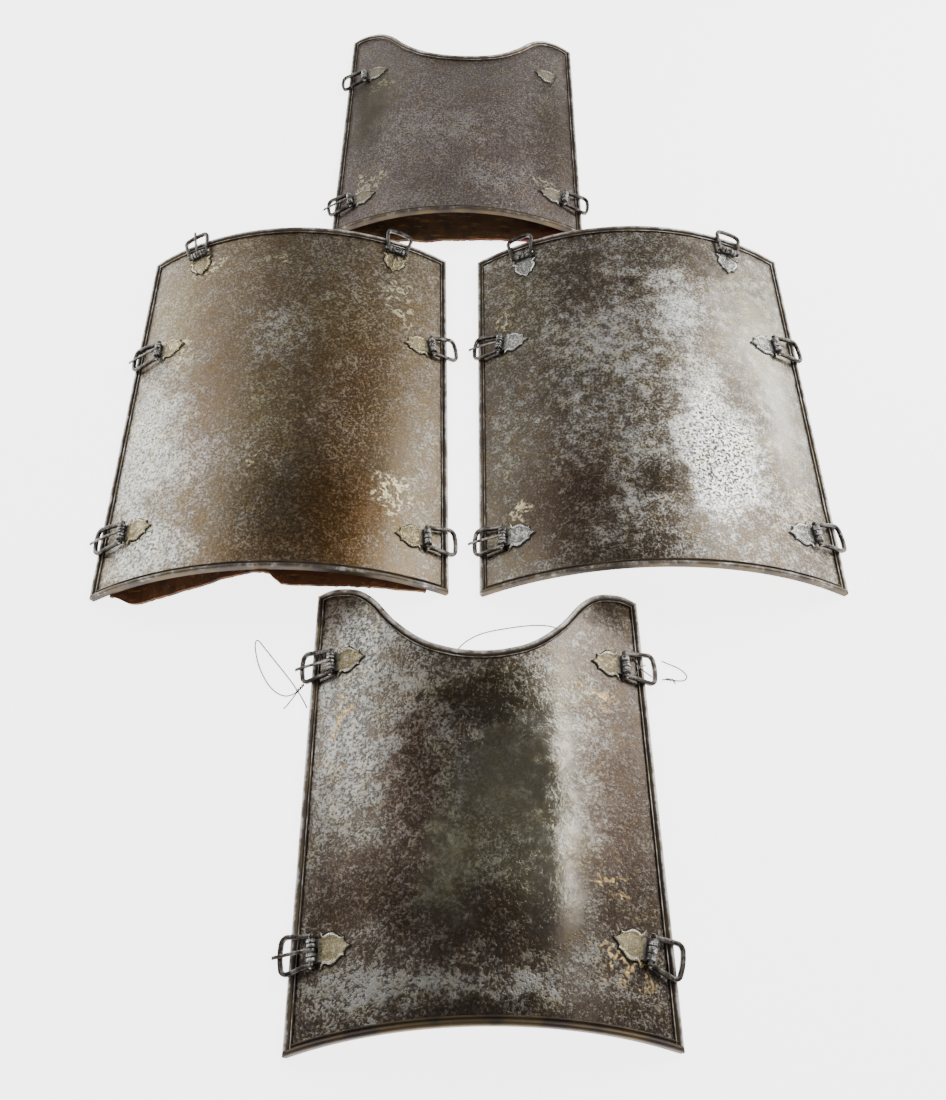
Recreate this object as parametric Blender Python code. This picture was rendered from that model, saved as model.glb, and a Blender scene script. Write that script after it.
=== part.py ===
"""Mirror armour of four curved iron plates, laid out on a table.

Two wide plates covered the chest and the back, and two narrow ones, cut out for the arms, the sides.
Each has a moulded rim, arrow-head fittings on its face, and in each fitting a buckle frame
that turns on its pin, some with a tongue. Two plates keep a stiff cloth lining that sags below them.
Metres, +Z up, the table at z = 0, the origin under the middle of the layout.
"""

import math

import bmesh
import bpy
from mathutils import Matrix, Vector

for old in list(bpy.data.objects):
    bpy.data.objects.remove(old, do_unlink=True)

# Clearance between pieces that touch on the real thing
SEAT_GAP = 0.0003

# The plates: chord and length over the rim, rise of the curved face over its long edges
PLATE_COLUMNS = (
    "name", "chord", "length", "rise", "x", "y", "turn", "cut_depth", "slant", "hollow", "columns")
PLATES = (
    ("left", 0.2144, 0.2887, 0.0340, -0.1224, 0.3272, 1.1, 0.0, 0.0, 0.0, 18),
    ("right", 0.2209, 0.2883, 0.0345, 0.1150, 0.3286, 0.1, 0.0, 0.0, 0.0, 18),
    ("lower", 0.1897, 0.2510, 0.0261, 0.0050, 0.0754, 0.6, 0.0490, 0.0035, 0.0090, 20),
    ("upper", 0.1909, 0.2450, 0.0240, -0.0122, 0.6483, -0.5, 0.0510, 0.0065, 0.0, 20),
)
SHEET = 0.0016
REST_HEIGHT = 0.0016

# The arm cut-out: share of the half width across, share of its depth
CUT_OUT = (
    (0.00, 1.00), (0.15, 0.965), (0.32, 0.83), (0.48, 0.56), (0.60, 0.26), (0.70, 0.095),
    (0.80, 0.025), (0.90, 0.0), (1.00, 0.03))

# The rim: a moulded strip over the plate's edge, with a bead, a groove and a thin inner line
RIM_WIDTH = 0.0046
RIM_WALL = 0.0016
RIM_LEG = 0.0021
BEAD_HEIGHT = 0.0022
LINE_HEIGHT = 0.0012
GROOVE_HEIGHT = 0.0008
# Shares of its width from the outside: the groove, the bead's two shoulders; and the bead's rounding
GROOVE_SHARE = 0.74
BEAD_SHARES = (0.50, 0.15)
BEAD_ROUNDING = 0.45

# The fittings: an arrow-head leaf whose neck is rolled round the frame's pin
LEAF_LENGTH = 0.0205
LEAF_WIDTH = 0.0152
LEAF_THICKNESS = 0.0011
KNUCKLE_WIDTH = 0.0110
KNUCKLE_WALL = 0.0010
KNUCKLE_STEPS = 7
KNUCKLE_SWEEP = 288.0
SLOT_WIDTH = 0.0024
SLOT_LENGTH = 0.0030
PIN_RADIUS = 0.0011
PIN_CLEARANCE = 0.0004

# The leaf's outline from its tip: share of its length from the pin, share of its half width
LEAF_ROWS = (
    (1.00, 0.05), (0.87, 0.22), (0.79, 0.36), (0.69, 0.66), (0.52, 1.00), (0.36, 0.97), (0.265, 0.80))
# Its cusps and barbs: the row each follows, share along, share out
LEAF_SPIKES = {2: (0.82, 0.60), 5: (0.21, 1.20)}
NECK_ALONG = 0.235
STUB_LENGTH = 0.0022
STUB_LIFT = 0.0008

# The frames: a stirrup-shaped loop with its pin
BAR_RADIUS = 0.0012
BAR_SIDES = 6
FRAME_WIDTH = 0.0178
FRAME_CORNER = 0.0036
FRAME_BOW = 0.0005
FRAME_ARM_SHARE = 0.35

# The tongues
TONGUE_WIDTH = 0.0018
TONGUE_THICKNESS = 0.0009
TONGUE_TIP_WIDTH = 0.0009
TONGUE_TIP_THICKNESS = 0.0006
TONGUE_OVERHANG = 0.0026
TONGUE_BOW = 0.0004
TONGUE_LOOP_START = -50.0
TONGUE_LOOP_STEPS = 6
TONGUE_LOOP_END = -270.0
# Halfway along and over the outer bar: shares of its width and thickness
TONGUE_HALFWAY = 0.5
TONGUE_HALFWAY_WIDTH = 0.9
TONGUE_HALFWAY_THICKNESS = 0.95
TONGUE_BAR_WIDTH = 0.7
TONGUE_BAR_TAPER = 0.8

# The fittings of each plate: distance of the pin across and up the face, direction of the frame
# (0 to the right, 90 to the top), its reach, and "out" or "back" for a tongue over or off the frame
FITTING_COLUMNS = ("place", "across", "up", "facing", "reach", "tongue")
FITTINGS = {
    "left": (
        ("top_left", -0.0714, 0.2749, 101.0, 0.0190, "out"),
        ("top_right", 0.0733, 0.2770, 84.0, 0.0180, "back"),
        ("mid_left", -0.0930, 0.1902, 181.0, 0.0210, "out"),
        ("mid_right", 0.1015, 0.1953, 9.0, 0.0180, ""),
        ("low_left", -0.0945, 0.0402, 182.0, 0.0205, "out"),
        ("low_right", 0.0984, 0.0345, 3.0, 0.0190, ""),
    ),
    "right": (
        ("top_left", -0.0800, 0.2738, 95.0, 0.0185, ""),
        ("top_right", 0.0706, 0.2736, 86.0, 0.0180, "back"),
        ("mid_left", -0.0995, 0.1962, 173.0, 0.0190, "out"),
        ("mid_right", 0.0975, 0.1925, 8.0, 0.0210, ""),
        ("low_left", -0.0999, 0.0349, 177.0, 0.0190, "out"),
        ("low_right", 0.0985, 0.0359, 8.0, 0.0210, ""),
    ),
    "lower": (
        ("high_left", -0.0858, 0.2048, 182.0, 0.0185, "out"),
        ("high_right", 0.0859, 0.2012, 0.0, 0.0190, ""),
        ("low_left", -0.0856, 0.0465, 184.0, 0.0175, "out"),
        ("low_right", 0.0848, 0.0447, -16.0, 0.0175, ""),
    ),
    "upper": (
        ("high_left", -0.0835, 0.1898, 186.0, 0.0200, ""),
        ("high_right", 0.0843, 0.1855, -12.0, 0.0, "broken"),
        ("low_left", -0.0847, 0.0293, 188.0, 0.0180, "out"),
        ("low_right", 0.0845, 0.0331, -6.0, 0.0190, ""),
    ),
}

# The linings: stiff cloth under the plate, sagging at its lower edge
LINING_THICKNESS = 0.0020
LINING_GAP = 0.0008
LINING_LIFT = 0.0004
LINING_SAG_LENGTH = 0.26
LINING_ROWS = (0.0, 0.06, 0.14, LINING_SAG_LENGTH, 0.95)
# Share of the half width across, share of the way down to the table, overhang past the plate's edge
LININGS = {
    "left": (
        (-0.88, 0.00, 0.0010), (-0.77, 0.97, 0.0030), (-0.60, 0.68, 0.0030), (-0.42, 0.43, 0.0025),
        (-0.25, 0.22, 0.0018), (-0.10, 0.05, 0.0010), (0.03, 0.02, 0.0010), (0.09, 0.33, 0.0025),
        (0.25, 0.36, 0.0030), (0.42, 0.33, 0.0030), (0.62, 0.25, 0.0025), (0.78, 0.30, 0.0010),
        (0.88, 0.00, 0.0010)),
    "upper": (
        (-0.88, 0.00, 0.0010), (-0.78, 0.70, 0.0030), (-0.62, 0.97, 0.0055), (-0.45, 1.00, 0.0068),
        (-0.25, 1.00, 0.0072), (-0.08, 1.00, 0.0055), (0.08, 1.00, 0.0048), (0.25, 1.00, 0.0045),
        (0.42, 1.00, 0.0055), (0.58, 0.96, 0.0060), (0.70, 0.85, 0.0040), (0.80, 0.45, 0.0020),
        (0.88, 0.00, 0.0010)),
}

# Colour, roughness and metallic value of each finish
FINISHES = {
    "plate": ((0.19, 0.16, 0.15, 1.0), 0.45, 0.9),
    "rim": ((0.24, 0.22, 0.19, 1.0), 0.40, 0.9),
    "lining": ((0.28, 0.13, 0.05, 1.0), 0.90, 0.0),
    "leaf": ((0.50, 0.47, 0.38, 1.0), 0.35, 0.9),
    "frame": ((0.12, 0.10, 0.09, 1.0), 0.50, 0.9),
    "tongue": ((0.16, 0.14, 0.12, 1.0), 0.45, 0.9),
}

# Edges sharper than this stay sharp, in degrees
SHARP_ANGLE = 35.0

# Where a resting frame and a folded tongue are looked for, in degrees
REST_SEARCH = 20.0
BACK_SEARCH = 60.0
SEARCH_STEPS = 30

BORE_RADIUS = PIN_RADIUS + PIN_CLEARANCE
PIN_HEIGHT = SEAT_GAP + LEAF_THICKNESS + BORE_RADIUS
ARM_OFFSET = KNUCKLE_WIDTH / 2 + SEAT_GAP + BAR_RADIUS
BAR_HALF_HEIGHT = BAR_RADIUS * math.cos(math.pi / BAR_SIDES)


class Vault:
    """A plate's curved face: s runs across it from its middle, y up it and n out of it."""

    def __init__(self, row):
        half_chord = row["chord"] / 2
        self.half_angle = 2 * math.atan(row["rise"] / half_chord)
        self.radius = half_chord / math.sin(self.half_angle)
        self.half_arc = self.radius * self.half_angle
        self.drop = self.radius * math.cos(self.half_angle) - REST_HEIGHT
        self.row = row

    def point(self, s, y, n=0.0):
        angle = s / self.radius
        r = self.radius + n
        return Vector((r * math.sin(angle), y, r * math.cos(angle) - self.drop))

    def depth_to_table(self, s):
        return self.radius - self.drop / math.cos(s / self.radius)

    def lower_edge(self, share):
        return self.row["hollow"] * (1 - share * share)

    def upper_edge(self, share):
        cut = self.row["cut_depth"] * smooth_table(CUT_OUT, abs(share))
        return self.row["length"] - cut - self.row["slant"] * share

    def outline(self):
        """The rim's outer edge, round from the lower left corner; its lower half comes first."""
        shares = column_shares(self.row["columns"])
        lower = [(share * self.half_arc, self.lower_edge(share)) for share in shares]
        upper = [(share * self.half_arc, self.upper_edge(share)) for share in shares]
        return lower + upper[::-1]


def column_shares(count):
    return [2 * k / count - 1 for k in range(count + 1)]


def smooth_table(table, x):
    """A smooth curve through a short table's points."""
    last = len(table) - 2
    k = min(max(sum(1 for row in table[1:-1] if row[0] <= x), 0), last)
    (x0, y0), (x1, y1) = table[k], table[k + 1]
    before = table[k - 1] if k else (x0 - (x1 - x0), table[k + 1][1])
    after = table[k + 2] if k < last else (x1 + (x1 - x0), y1)
    t = (x - x0) / (x1 - x0)
    rise0 = (y1 - before[1]) / (x1 - before[0]) * (x1 - x0)
    rise1 = (after[1] - y0) / (after[0] - x0) * (x1 - x0)
    a = 2 * y0 - 2 * y1 + rise0 + rise1
    b = 3 * y1 - 3 * y0 - 2 * rise0 - rise1
    return ((a * t + b) * t + rise0) * t + y0


def inset(outline, distance):
    """The outline moved in by a distance, with mitred corners."""
    moved = []
    for k, (s, y) in enumerate(outline):
        before = Vector(outline[k - 1])
        here = Vector((s, y))
        after = Vector(outline[(k + 1) % len(outline)])
        arriving = (here - before).normalized()
        leaving = (after - here).normalized()
        first = Vector((-arriving.y, arriving.x))
        second = Vector((-leaving.y, leaving.x))
        moved.append(here + (first + second) * distance / (1 + first.dot(second)))
    return moved


def finish_material(kind):
    if kind in bpy.data.materials:
        return bpy.data.materials[kind]
    colour, roughness, metallic = FINISHES[kind]
    material = bpy.data.materials.new(kind)
    material.use_nodes = True
    shader = material.node_tree.nodes["Principled BSDF"]
    shader.inputs["Base Color"].default_value = colour
    shader.inputs["Roughness"].default_value = roughness
    shader.inputs["Metallic"].default_value = metallic
    return material


def add_object(name, kind, points, faces, parent, matrix=None):
    """One named object with its own copy of its finish."""
    mesh = bpy.data.meshes.new(name)
    mesh.from_pydata([tuple(p) for p in points], [], faces)
    body = bmesh.new()
    body.from_mesh(mesh)
    bmesh.ops.recalc_face_normals(body, faces=body.faces)
    bmesh.ops.triangulate(body, faces=body.faces)
    body.to_mesh(mesh)
    body.free()
    mesh.shade_smooth()
    mesh.set_sharp_from_angle(angle=math.radians(SHARP_ANGLE))
    material = finish_material(kind).copy()
    material.name = name
    mesh.materials.append(material)
    obj = bpy.data.objects.new(name, mesh)
    bpy.context.collection.objects.link(obj)
    obj.parent = parent
    if matrix is not None:
        obj.matrix_local = matrix
    return obj


def add_empty(name, parent=None, location=(0.0, 0.0, 0.0), turn=0.0):
    empty = bpy.data.objects.new(name, None)
    bpy.context.collection.objects.link(empty)
    empty.parent = parent
    empty.location = location
    empty.rotation_euler = (0.0, 0.0, math.radians(turn))
    return empty


def ring_faces(rings, closed):
    """Quads that join rings of as many points each, with caps where the run has ends."""
    size = len(rings[0])
    faces = []
    steps = len(rings) if closed else len(rings) - 1
    for k in range(steps):
        near, far = k * size, (k + 1) % len(rings) * size
        for j in range(size):
            after = (j + 1) % size
            faces.append((near + j, near + after, far + after, far + j))
    if not closed:
        faces.append(tuple(range(size))[::-1])
        faces.append(tuple((len(rings) - 1) * size + j for j in range(size)))
    return faces


def add_plate(vault, parent):
    """The iron sheet, one long strip for each column, inside the rim's leg."""
    outline = inset(vault.outline(), RIM_WALL + SEAT_GAP)
    columns = len(outline) // 2
    rings = []
    for k in range(columns):
        low, high = outline[k], outline[-1 - k]
        rings.append([
            vault.point(low.x, low.y),
            vault.point(high.x, high.y),
            vault.point(high.x, high.y, -SHEET),
            vault.point(low.x, low.y, -SHEET)])
    points = [p for ring in rings for p in ring]
    return add_object(vault.row["name"] + "_plate", "plate", points, ring_faces(rings, False), parent)


def add_rim(vault, parent):
    """The moulded strip round the plate's edge. Its long sides stand on the table."""
    outline = vault.outline()
    section = (
        (RIM_WIDTH, SEAT_GAP),
        (RIM_WIDTH, LINE_HEIGHT),
        (RIM_WIDTH * GROOVE_SHARE, GROOVE_HEIGHT),
        (RIM_WIDTH * BEAD_SHARES[0], BEAD_HEIGHT),
        (RIM_WIDTH * BEAD_SHARES[1], BEAD_HEIGHT),
        (0.0, BEAD_HEIGHT * BEAD_ROUNDING),
        (0.0, None),
        (RIM_WALL, None),
        (RIM_WALL, SEAT_GAP))
    runs = []
    for distance, height in section:
        run = []
        for (start_s, _), place in zip(outline, inset(outline, distance)):
            n = height
            if n is None:
                on_side = abs(start_s) > vault.half_arc - SEAT_GAP
                n = -vault.depth_to_table(place.x) if on_side else -RIM_LEG
            run.append(vault.point(place.x, place.y, n))
        runs.append(run)
    rings = [list(ring) for ring in zip(*runs)]
    points = [p for ring in rings for p in ring]
    return add_object(vault.row["name"] + "_rim", "rim", points, ring_faces(rings, True), parent)


def add_lining(vault, parent):
    """The stiff cloth under the plate, which sags to the table at its lower edge."""
    table = LININGS[vault.row["name"]]
    rings = []
    for share, sag, overhang in table:
        s = share * vault.half_arc
        front = vault.lower_edge(share) - overhang
        back = vault.upper_edge(share)
        top, under = [], []
        for along in LINING_ROWS:
            y = front + (back - front) * along
            fade = math.cos(math.pi / 2 * min(along / LINING_SAG_LENGTH, 1.0))
            for run, n, floor in (
                    (top, -SHEET - LINING_GAP, LINING_LIFT + LINING_THICKNESS),
                    (under, -SHEET - LINING_GAP - LINING_THICKNESS, LINING_LIFT)):
                p = vault.point(s, y, n)
                p.z = max(p.z + (floor - p.z) * sag * fade, floor)
                run.append(p)
        rings.append(top + under[::-1])
    points = [p for ring in rings for p in ring]
    return add_object(vault.row["name"] + "_lining", "lining", points, ring_faces(rings, False), parent)


class Seat:
    """A fitting's place on a plate: a runs out to the frame, b along the pin, n off the face."""

    def __init__(self, vault, fitting):
        self.vault = vault
        self.across = fitting["across"]
        self.up = fitting["up"]
        self.angle = math.radians(fitting["facing"])

    def spot(self, a, b):
        c, s = math.cos(self.angle), math.sin(self.angle)
        return self.across + a * c - b * s, self.up + a * s + b * c

    def point(self, a, b, n):
        return self.vault.point(*self.spot(a, b), n)

    def matrix(self):
        """The pin's own axes: X out to the frame, Y along the pin, Z off the face."""
        lean = self.across / self.vault.radius
        over = Vector((math.cos(lean), 0.0, -math.sin(lean)))
        out = over * math.cos(self.angle) + Vector((0.0, math.sin(self.angle), 0.0))
        normal = Vector((math.sin(lean), 0.0, math.cos(lean)))
        side = normal.cross(out)
        turn = Matrix((out, side, normal)).transposed().to_4x4()
        return Matrix.Translation(self.point(0.0, 0.0, PIN_HEIGHT)) @ turn


def band(rows, spikes, slot_row):
    """A strip of paired top and under points. Each row is (top, under) with points from left to right:
    two, or four from the row where the slot starts."""
    points, index = [], []
    for top, under in rows:
        index.append([[len(points) + k for k in range(len(top))],
                      [len(points) + len(top) + k for k in range(len(top))]])
        points += list(top) + list(under)
    faces = []

    def skin(top_loop, under_loop):
        faces.append(tuple(top_loop))
        faces.append(tuple(under_loop[::-1]))

    def wall(pairs):
        for (t0, u0), (t1, u1) in zip(pairs, pairs[1:]):
            faces.append((t0, u0, u1, t1))

    first, last = index[0], index[-1]
    wall([(first[0][0], first[1][0]), (first[0][-1], first[1][-1])])
    for k in range(len(rows) - 1):
        (t0, u0), (t1, u1) = index[k], index[k + 1]
        if slot_row is not None and k >= slot_row:
            for left, right in ((0, 1), (2, 3)):
                skin((t0[left], t0[right], t1[right], t1[left]), (u0[left], u0[right], u1[right], u1[left]))
                wall([(t0[left], u0[left]), (t1[left], u1[left])])
                wall([(t0[right], u0[right]), (t1[right], u1[right])])
            continue
        left_side = [(t0[0], u0[0]), (t1[0], u1[0])]
        right_side = [(t0[-1], u0[-1]), (t1[-1], u1[-1])]
        if k in spikes:
            for side, tip in zip((left_side, right_side), spikes[k]):
                side.insert(1, (len(points), len(points) + 1))
                points.extend(tip)
        across = [(t, u) for t, u in zip(t1, u1)]
        loop = left_side[:-1] + across + right_side[:-1][::-1]
        skin([t for t, _ in loop], [u for _, u in loop])
        wall(left_side)
        wall(right_side)
    if slot_row is not None:
        t, u = index[slot_row]
        wall([(t[1], u[1]), (t[2], u[2])])
        wall([(last[0][0], last[1][0]), (last[0][1], last[1][1])])
        wall([(last[0][2], last[1][2]), (last[0][3], last[1][3])])
    else:
        wall([(last[0][0], last[1][0]), (last[0][-1], last[1][-1])])
    return points, faces


def add_leaf(seat, name, fitting, parent):
    """The arrow-head leaf and its neck, rolled round the pin, or torn off short of it."""
    half_leaf, half_neck, half_slot = LEAF_WIDTH / 2, KNUCKLE_WIDTH / 2, SLOT_WIDTH / 2
    top_n = SEAT_GAP + LEAF_THICKNESS
    path = [(-LEAF_LENGTH * along, half_leaf * share, top_n, -LEAF_LENGTH * along, SEAT_GAP)
            for along, share in LEAF_ROWS]
    path.append((-LEAF_LENGTH * NECK_ALONG, half_neck, top_n, -LEAF_LENGTH * NECK_ALONG, SEAT_GAP))
    slot_row = None
    if fitting["tongue"] == "broken":
        end = -STUB_LENGTH
        path.append((end, half_neck, top_n + STUB_LIFT, end, SEAT_GAP + STUB_LIFT))
    else:
        if fitting["tongue"]:
            slot_row = len(path)
            path.append((-SLOT_LENGTH, half_neck, top_n, -SLOT_LENGTH, SEAT_GAP))
        outer = BORE_RADIUS + KNUCKLE_WALL
        path.append((0.0, half_neck, top_n, 0.0, PIN_HEIGHT - outer))
        for k in range(1, KNUCKLE_STEPS + 1):
            angle = math.radians(KNUCKLE_SWEEP * k / KNUCKLE_STEPS - 90)
            c, s = math.cos(angle), math.sin(angle)
            path.append((BORE_RADIUS * c, half_neck, PIN_HEIGHT + BORE_RADIUS * s,
                         outer * c, PIN_HEIGHT + outer * s))
    rows = []
    for k, (top_a, half, top_height, under_a, under_height) in enumerate(path):
        widths = [-half, half]
        if slot_row is not None and k >= slot_row:
            widths = [-half, -half_slot, half_slot, half]
        rows.append(([seat.point(top_a, b, top_height) for b in widths],
                     [seat.point(under_a, b, under_height) for b in widths]))
    spikes = {}
    for row, (along, out) in LEAF_SPIKES.items():
        a, b = -LEAF_LENGTH * along, half_leaf * out
        spikes[row] = [
            (seat.point(a, side * b, top_n), seat.point(a, side * b, SEAT_GAP)) for side in (-1, 1)]
    points, faces = band(rows, spikes, slot_row)
    return add_object(name, "leaf", points, faces, parent)


def frame_path(reach):
    """The loop's middle line: along the pin, out one arm, round the outer bar and back."""
    half = FRAME_WIDTH / 2
    arm = reach * FRAME_ARM_SHARE
    arm_side = ARM_OFFSET + (half - ARM_OFFSET) * FRAME_ARM_SHARE
    corner = FRAME_CORNER
    bend = corner * (1 - math.sqrt(0.5))
    right = [
        (0.0, ARM_OFFSET), (arm, arm_side), (reach - corner, half), (reach - bend, half - bend),
        (reach, half - corner)]
    left = [(a, -b) for a, b in right[::-1]]
    return right + [(reach + FRAME_BOW, 0.0)] + left


def add_frame(seat, name, fitting, parent, rest):
    path = [Vector(p) for p in frame_path(fitting["reach"])]
    rings = []
    for k, here in enumerate(path):
        before, after = path[k - 1], path[(k + 1) % len(path)]
        arriving = (here - before).normalized()
        leaving = (after - here).normalized()
        first = Vector((arriving.y, -arriving.x))
        second = Vector((leaving.y, -leaving.x))
        side = (first + second) / (1 + first.dot(second))
        ring = []
        for j in range(BAR_SIDES):
            angle = 2 * math.pi * j / BAR_SIDES
            place = here + side * BAR_RADIUS * math.cos(angle)
            ring.append(Vector((place.x, place.y, BAR_RADIUS * math.sin(angle))))
        rings.append(ring)
    thin = PIN_RADIUS / BAR_RADIUS
    for ring in (rings[0], rings[-1]):
        for p in ring:
            p.x *= thin
            p.z *= thin
    points = [p for ring in rings for p in ring]
    matrix = seat.matrix() @ Matrix.Rotation(rest, 4, "Y")
    return add_object(name, "frame", points, ring_faces(rings, True), parent, matrix)


def tongue_sections(reach):
    """The tongue's middle line with its half width and half thickness, from the loop's start to the tip."""
    radius = BORE_RADIUS + TONGUE_THICKNESS / 2
    half_w, half_t = TONGUE_WIDTH / 2, TONGUE_THICKNESS / 2
    rows = []
    sweep = TONGUE_LOOP_END - TONGUE_LOOP_START
    for k in range(TONGUE_LOOP_STEPS + 1):
        angle = math.radians(TONGUE_LOOP_START + sweep * k / TONGUE_LOOP_STEPS)
        rows.append((radius * math.cos(angle), radius * math.sin(angle), half_w, half_t))
    tip_t = TONGUE_TIP_THICKNESS / 2
    over_bar = BAR_HALF_HEIGHT + SEAT_GAP
    bar_t = half_t + (tip_t - half_t) * TONGUE_BAR_TAPER
    rows.append((
        reach * TONGUE_HALFWAY, (radius + over_bar + bar_t) / 2 + TONGUE_BOW,
        half_w * TONGUE_HALFWAY_WIDTH, half_t * TONGUE_HALFWAY_THICKNESS))
    rows.append((reach + FRAME_BOW, over_bar + bar_t, half_w * TONGUE_BAR_WIDTH, bar_t))
    tip = reach + FRAME_BOW + BAR_RADIUS + TONGUE_OVERHANG
    rows.append((tip, over_bar + tip_t - TONGUE_BOW, TONGUE_TIP_WIDTH / 2, tip_t))
    return rows


def add_tongue(name, reach, parent, matrix):
    rows = tongue_sections(reach)
    rings = []
    for k, (x, z, half_w, half_t) in enumerate(rows):
        before = rows[max(k - 1, 0)]
        after = rows[min(k + 1, len(rows) - 1)]
        along = Vector((after[0] - before[0], after[1] - before[1])).normalized()
        off = Vector((-along.y, along.x)) * half_t
        rings.append([
            Vector((x + off.x, -half_w, z + off.y)), Vector((x + off.x, half_w, z + off.y)),
            Vector((x - off.x, half_w, z - off.y)), Vector((x - off.x, -half_w, z - off.y))])
    points = [p for ring in rings for p in ring]
    return add_object(name, "tongue", points, ring_faces(rings, False), parent, matrix)


def last_clear(is_clear, clear, blocked):
    """The angle nearest to the blocked one that is still clear."""
    for _ in range(SEARCH_STEPS):
        middle = (clear + blocked) / 2
        if is_clear(middle):
            clear = middle
        else:
            blocked = middle
    return clear


def frame_rest(seat, reach):
    """How far the frame tips down from its pin until it is seated on the rim's bead or the table."""
    matrix = seat.matrix()
    inverse = matrix.inverted()
    vault = seat.vault
    outline = vault.outline()
    bead = []
    for bead_share in BEAD_SHARES:
        edge = inset(outline, RIM_WIDTH * bead_share)
        run = [vault.point(p.x, p.y, BEAD_HEIGHT) for p in edge]
        for start, end in zip(run, run[1:] + run[:1]):
            steps = max(1, round((end - start).length / BAR_RADIUS))
            bead += [inverse @ start.lerp(end, k / steps) for k in range(steps)]
    wide = FRAME_WIDTH / 2 + BAR_RADIUS
    near = [p for p in bead if abs(p.y) < wide and 0.0 < p.x < reach + FRAME_BOW + BAR_RADIUS]
    clear = BAR_HALF_HEIGHT + SEAT_GAP

    def is_clear(angle):
        c, s = math.cos(angle), math.sin(angle)
        if any(p.x * s + p.z * c > -clear for p in near):
            return False
        sides = (-FRAME_WIDTH / 2, FRAME_WIDTH / 2)
        ends = [matrix @ Vector((reach * c, side, -reach * s)) for side in sides]
        return min(end.z for end in ends) > BAR_RADIUS + SEAT_GAP

    return last_clear(is_clear, math.radians(-REST_SEARCH), math.radians(REST_SEARCH))


def back_rest():
    """Elevation of a tongue that lies back on its leaf, seated on the slot's end."""
    top = BORE_RADIUS + TONGUE_THICKNESS
    leaf_top = -BORE_RADIUS

    def is_clear(angle):
        c, s = math.cos(angle), math.sin(angle)
        x = (SLOT_LENGTH - top * s) / c
        return x * s - top * c > leaf_top + SEAT_GAP

    return last_clear(is_clear, math.radians(BACK_SEARCH), 0.0)


def add_fitting(vault, fitting, parent):
    seat = Seat(vault, fitting)
    plate_name, place, kind = vault.row["name"], fitting["place"], fitting["tongue"]
    add_leaf(seat, f"{plate_name}_leaf_{place}", fitting, parent)
    if kind == "broken":
        return
    rest = frame_rest(seat, fitting["reach"])
    frame = add_frame(seat, f"{plate_name}_frame_{place}", fitting, parent, rest)
    tongue_name = f"{plate_name}_tongue_{place}"
    if kind == "out":
        add_tongue(tongue_name, fitting["reach"], frame, Matrix.Identity(4))
    elif kind == "back":
        turned = Matrix.Rotation(back_rest() - math.pi, 4, "Y")
        add_tongue(tongue_name, fitting["reach"], parent, seat.matrix() @ turned)


def centre_layout(layout):
    """Move the whole layout so that the origin is under the middle of its box."""
    bpy.context.view_layer.update()
    solids = [obj for obj in bpy.data.objects if obj.type == "MESH"]
    corners = [obj.matrix_world @ v.co for obj in solids for v in obj.data.vertices]
    low = Vector([min(p[k] for p in corners) for k in range(3)])
    high = Vector([max(p[k] for p in corners) for k in range(3)])
    layout.location -= Vector(((low.x + high.x) / 2, (low.y + high.y) / 2, 0.0))
    bpy.context.view_layer.update()


def build():
    layout = add_empty("layout")
    for values in PLATES:
        row = dict(zip(PLATE_COLUMNS, values))
        vault = Vault(row)
        place = add_empty(row["name"] + "_place", layout, (row["x"], row["y"], 0.0), row["turn"])
        add_plate(vault, place)
        add_rim(vault, place)
        if row["name"] in LININGS:
            add_lining(vault, place)
        for fitting in FITTINGS[row["name"]]:
            add_fitting(vault, dict(zip(FITTING_COLUMNS, fitting)), place)
    centre_layout(layout)


build()
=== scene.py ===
# %% [markdown]
# # Mirror armour of four iron plates
#
# Four curved iron plates lie on a pale table. The two wide ones covered the chest and the back, and the
# two narrow ones, cut out for the arms, the sides. Leather straps ran through the buckle frames along
# their edges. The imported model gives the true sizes, and this lesson puts the worn surfaces on it.

# %% Load the frame
import math

import bmesh
import bpy
import numpy as np
from mathutils import Matrix, Vector, noise


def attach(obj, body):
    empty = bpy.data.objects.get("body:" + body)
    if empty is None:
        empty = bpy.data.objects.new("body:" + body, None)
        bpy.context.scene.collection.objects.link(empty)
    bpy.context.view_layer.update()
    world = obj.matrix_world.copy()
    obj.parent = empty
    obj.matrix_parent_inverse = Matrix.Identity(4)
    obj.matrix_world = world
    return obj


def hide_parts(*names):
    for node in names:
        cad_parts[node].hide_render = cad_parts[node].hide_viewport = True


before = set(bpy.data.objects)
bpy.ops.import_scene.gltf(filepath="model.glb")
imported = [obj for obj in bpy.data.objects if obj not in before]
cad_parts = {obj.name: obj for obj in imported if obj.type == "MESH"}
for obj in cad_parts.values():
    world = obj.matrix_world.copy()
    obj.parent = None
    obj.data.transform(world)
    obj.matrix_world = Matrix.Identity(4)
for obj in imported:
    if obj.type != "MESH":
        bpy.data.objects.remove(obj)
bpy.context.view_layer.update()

# %% [markdown]
# ## The camera
#
# The plates further away look smaller and their sides lean together, which fixes the lens: a normal lens
# held half a metre above the table, tipped 33 degrees off straight down. The table in the picture starts
# at the camera's foot, so the camera stands over the shift that put the layout's middle on the origin.

# %% Set up the camera
LAYOUT_SHIFT = Vector((0.00444, -0.48715, 0.0))
CAMERA_HEIGHT = 0.558
CAMERA_TILT = math.radians(33.0)
LENS_MM = 35.05
SENSOR_MM = 36.0
NEAR_CLIP = 0.01

camera = bpy.data.objects.new("camera", bpy.data.cameras.new("camera"))
bpy.context.collection.objects.link(camera)
camera.location = LAYOUT_SHIFT + Vector((0.0, 0.0, CAMERA_HEIGHT))
camera.rotation_euler = (CAMERA_TILT, 0.0, 0.0)
camera.data.lens = LENS_MM
camera.data.sensor_width = SENSOR_MM
camera.data.clip_start = NEAR_CLIP
bpy.context.scene.camera = camera
print("camera at", [round(v, 3) for v in camera.location])

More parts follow.
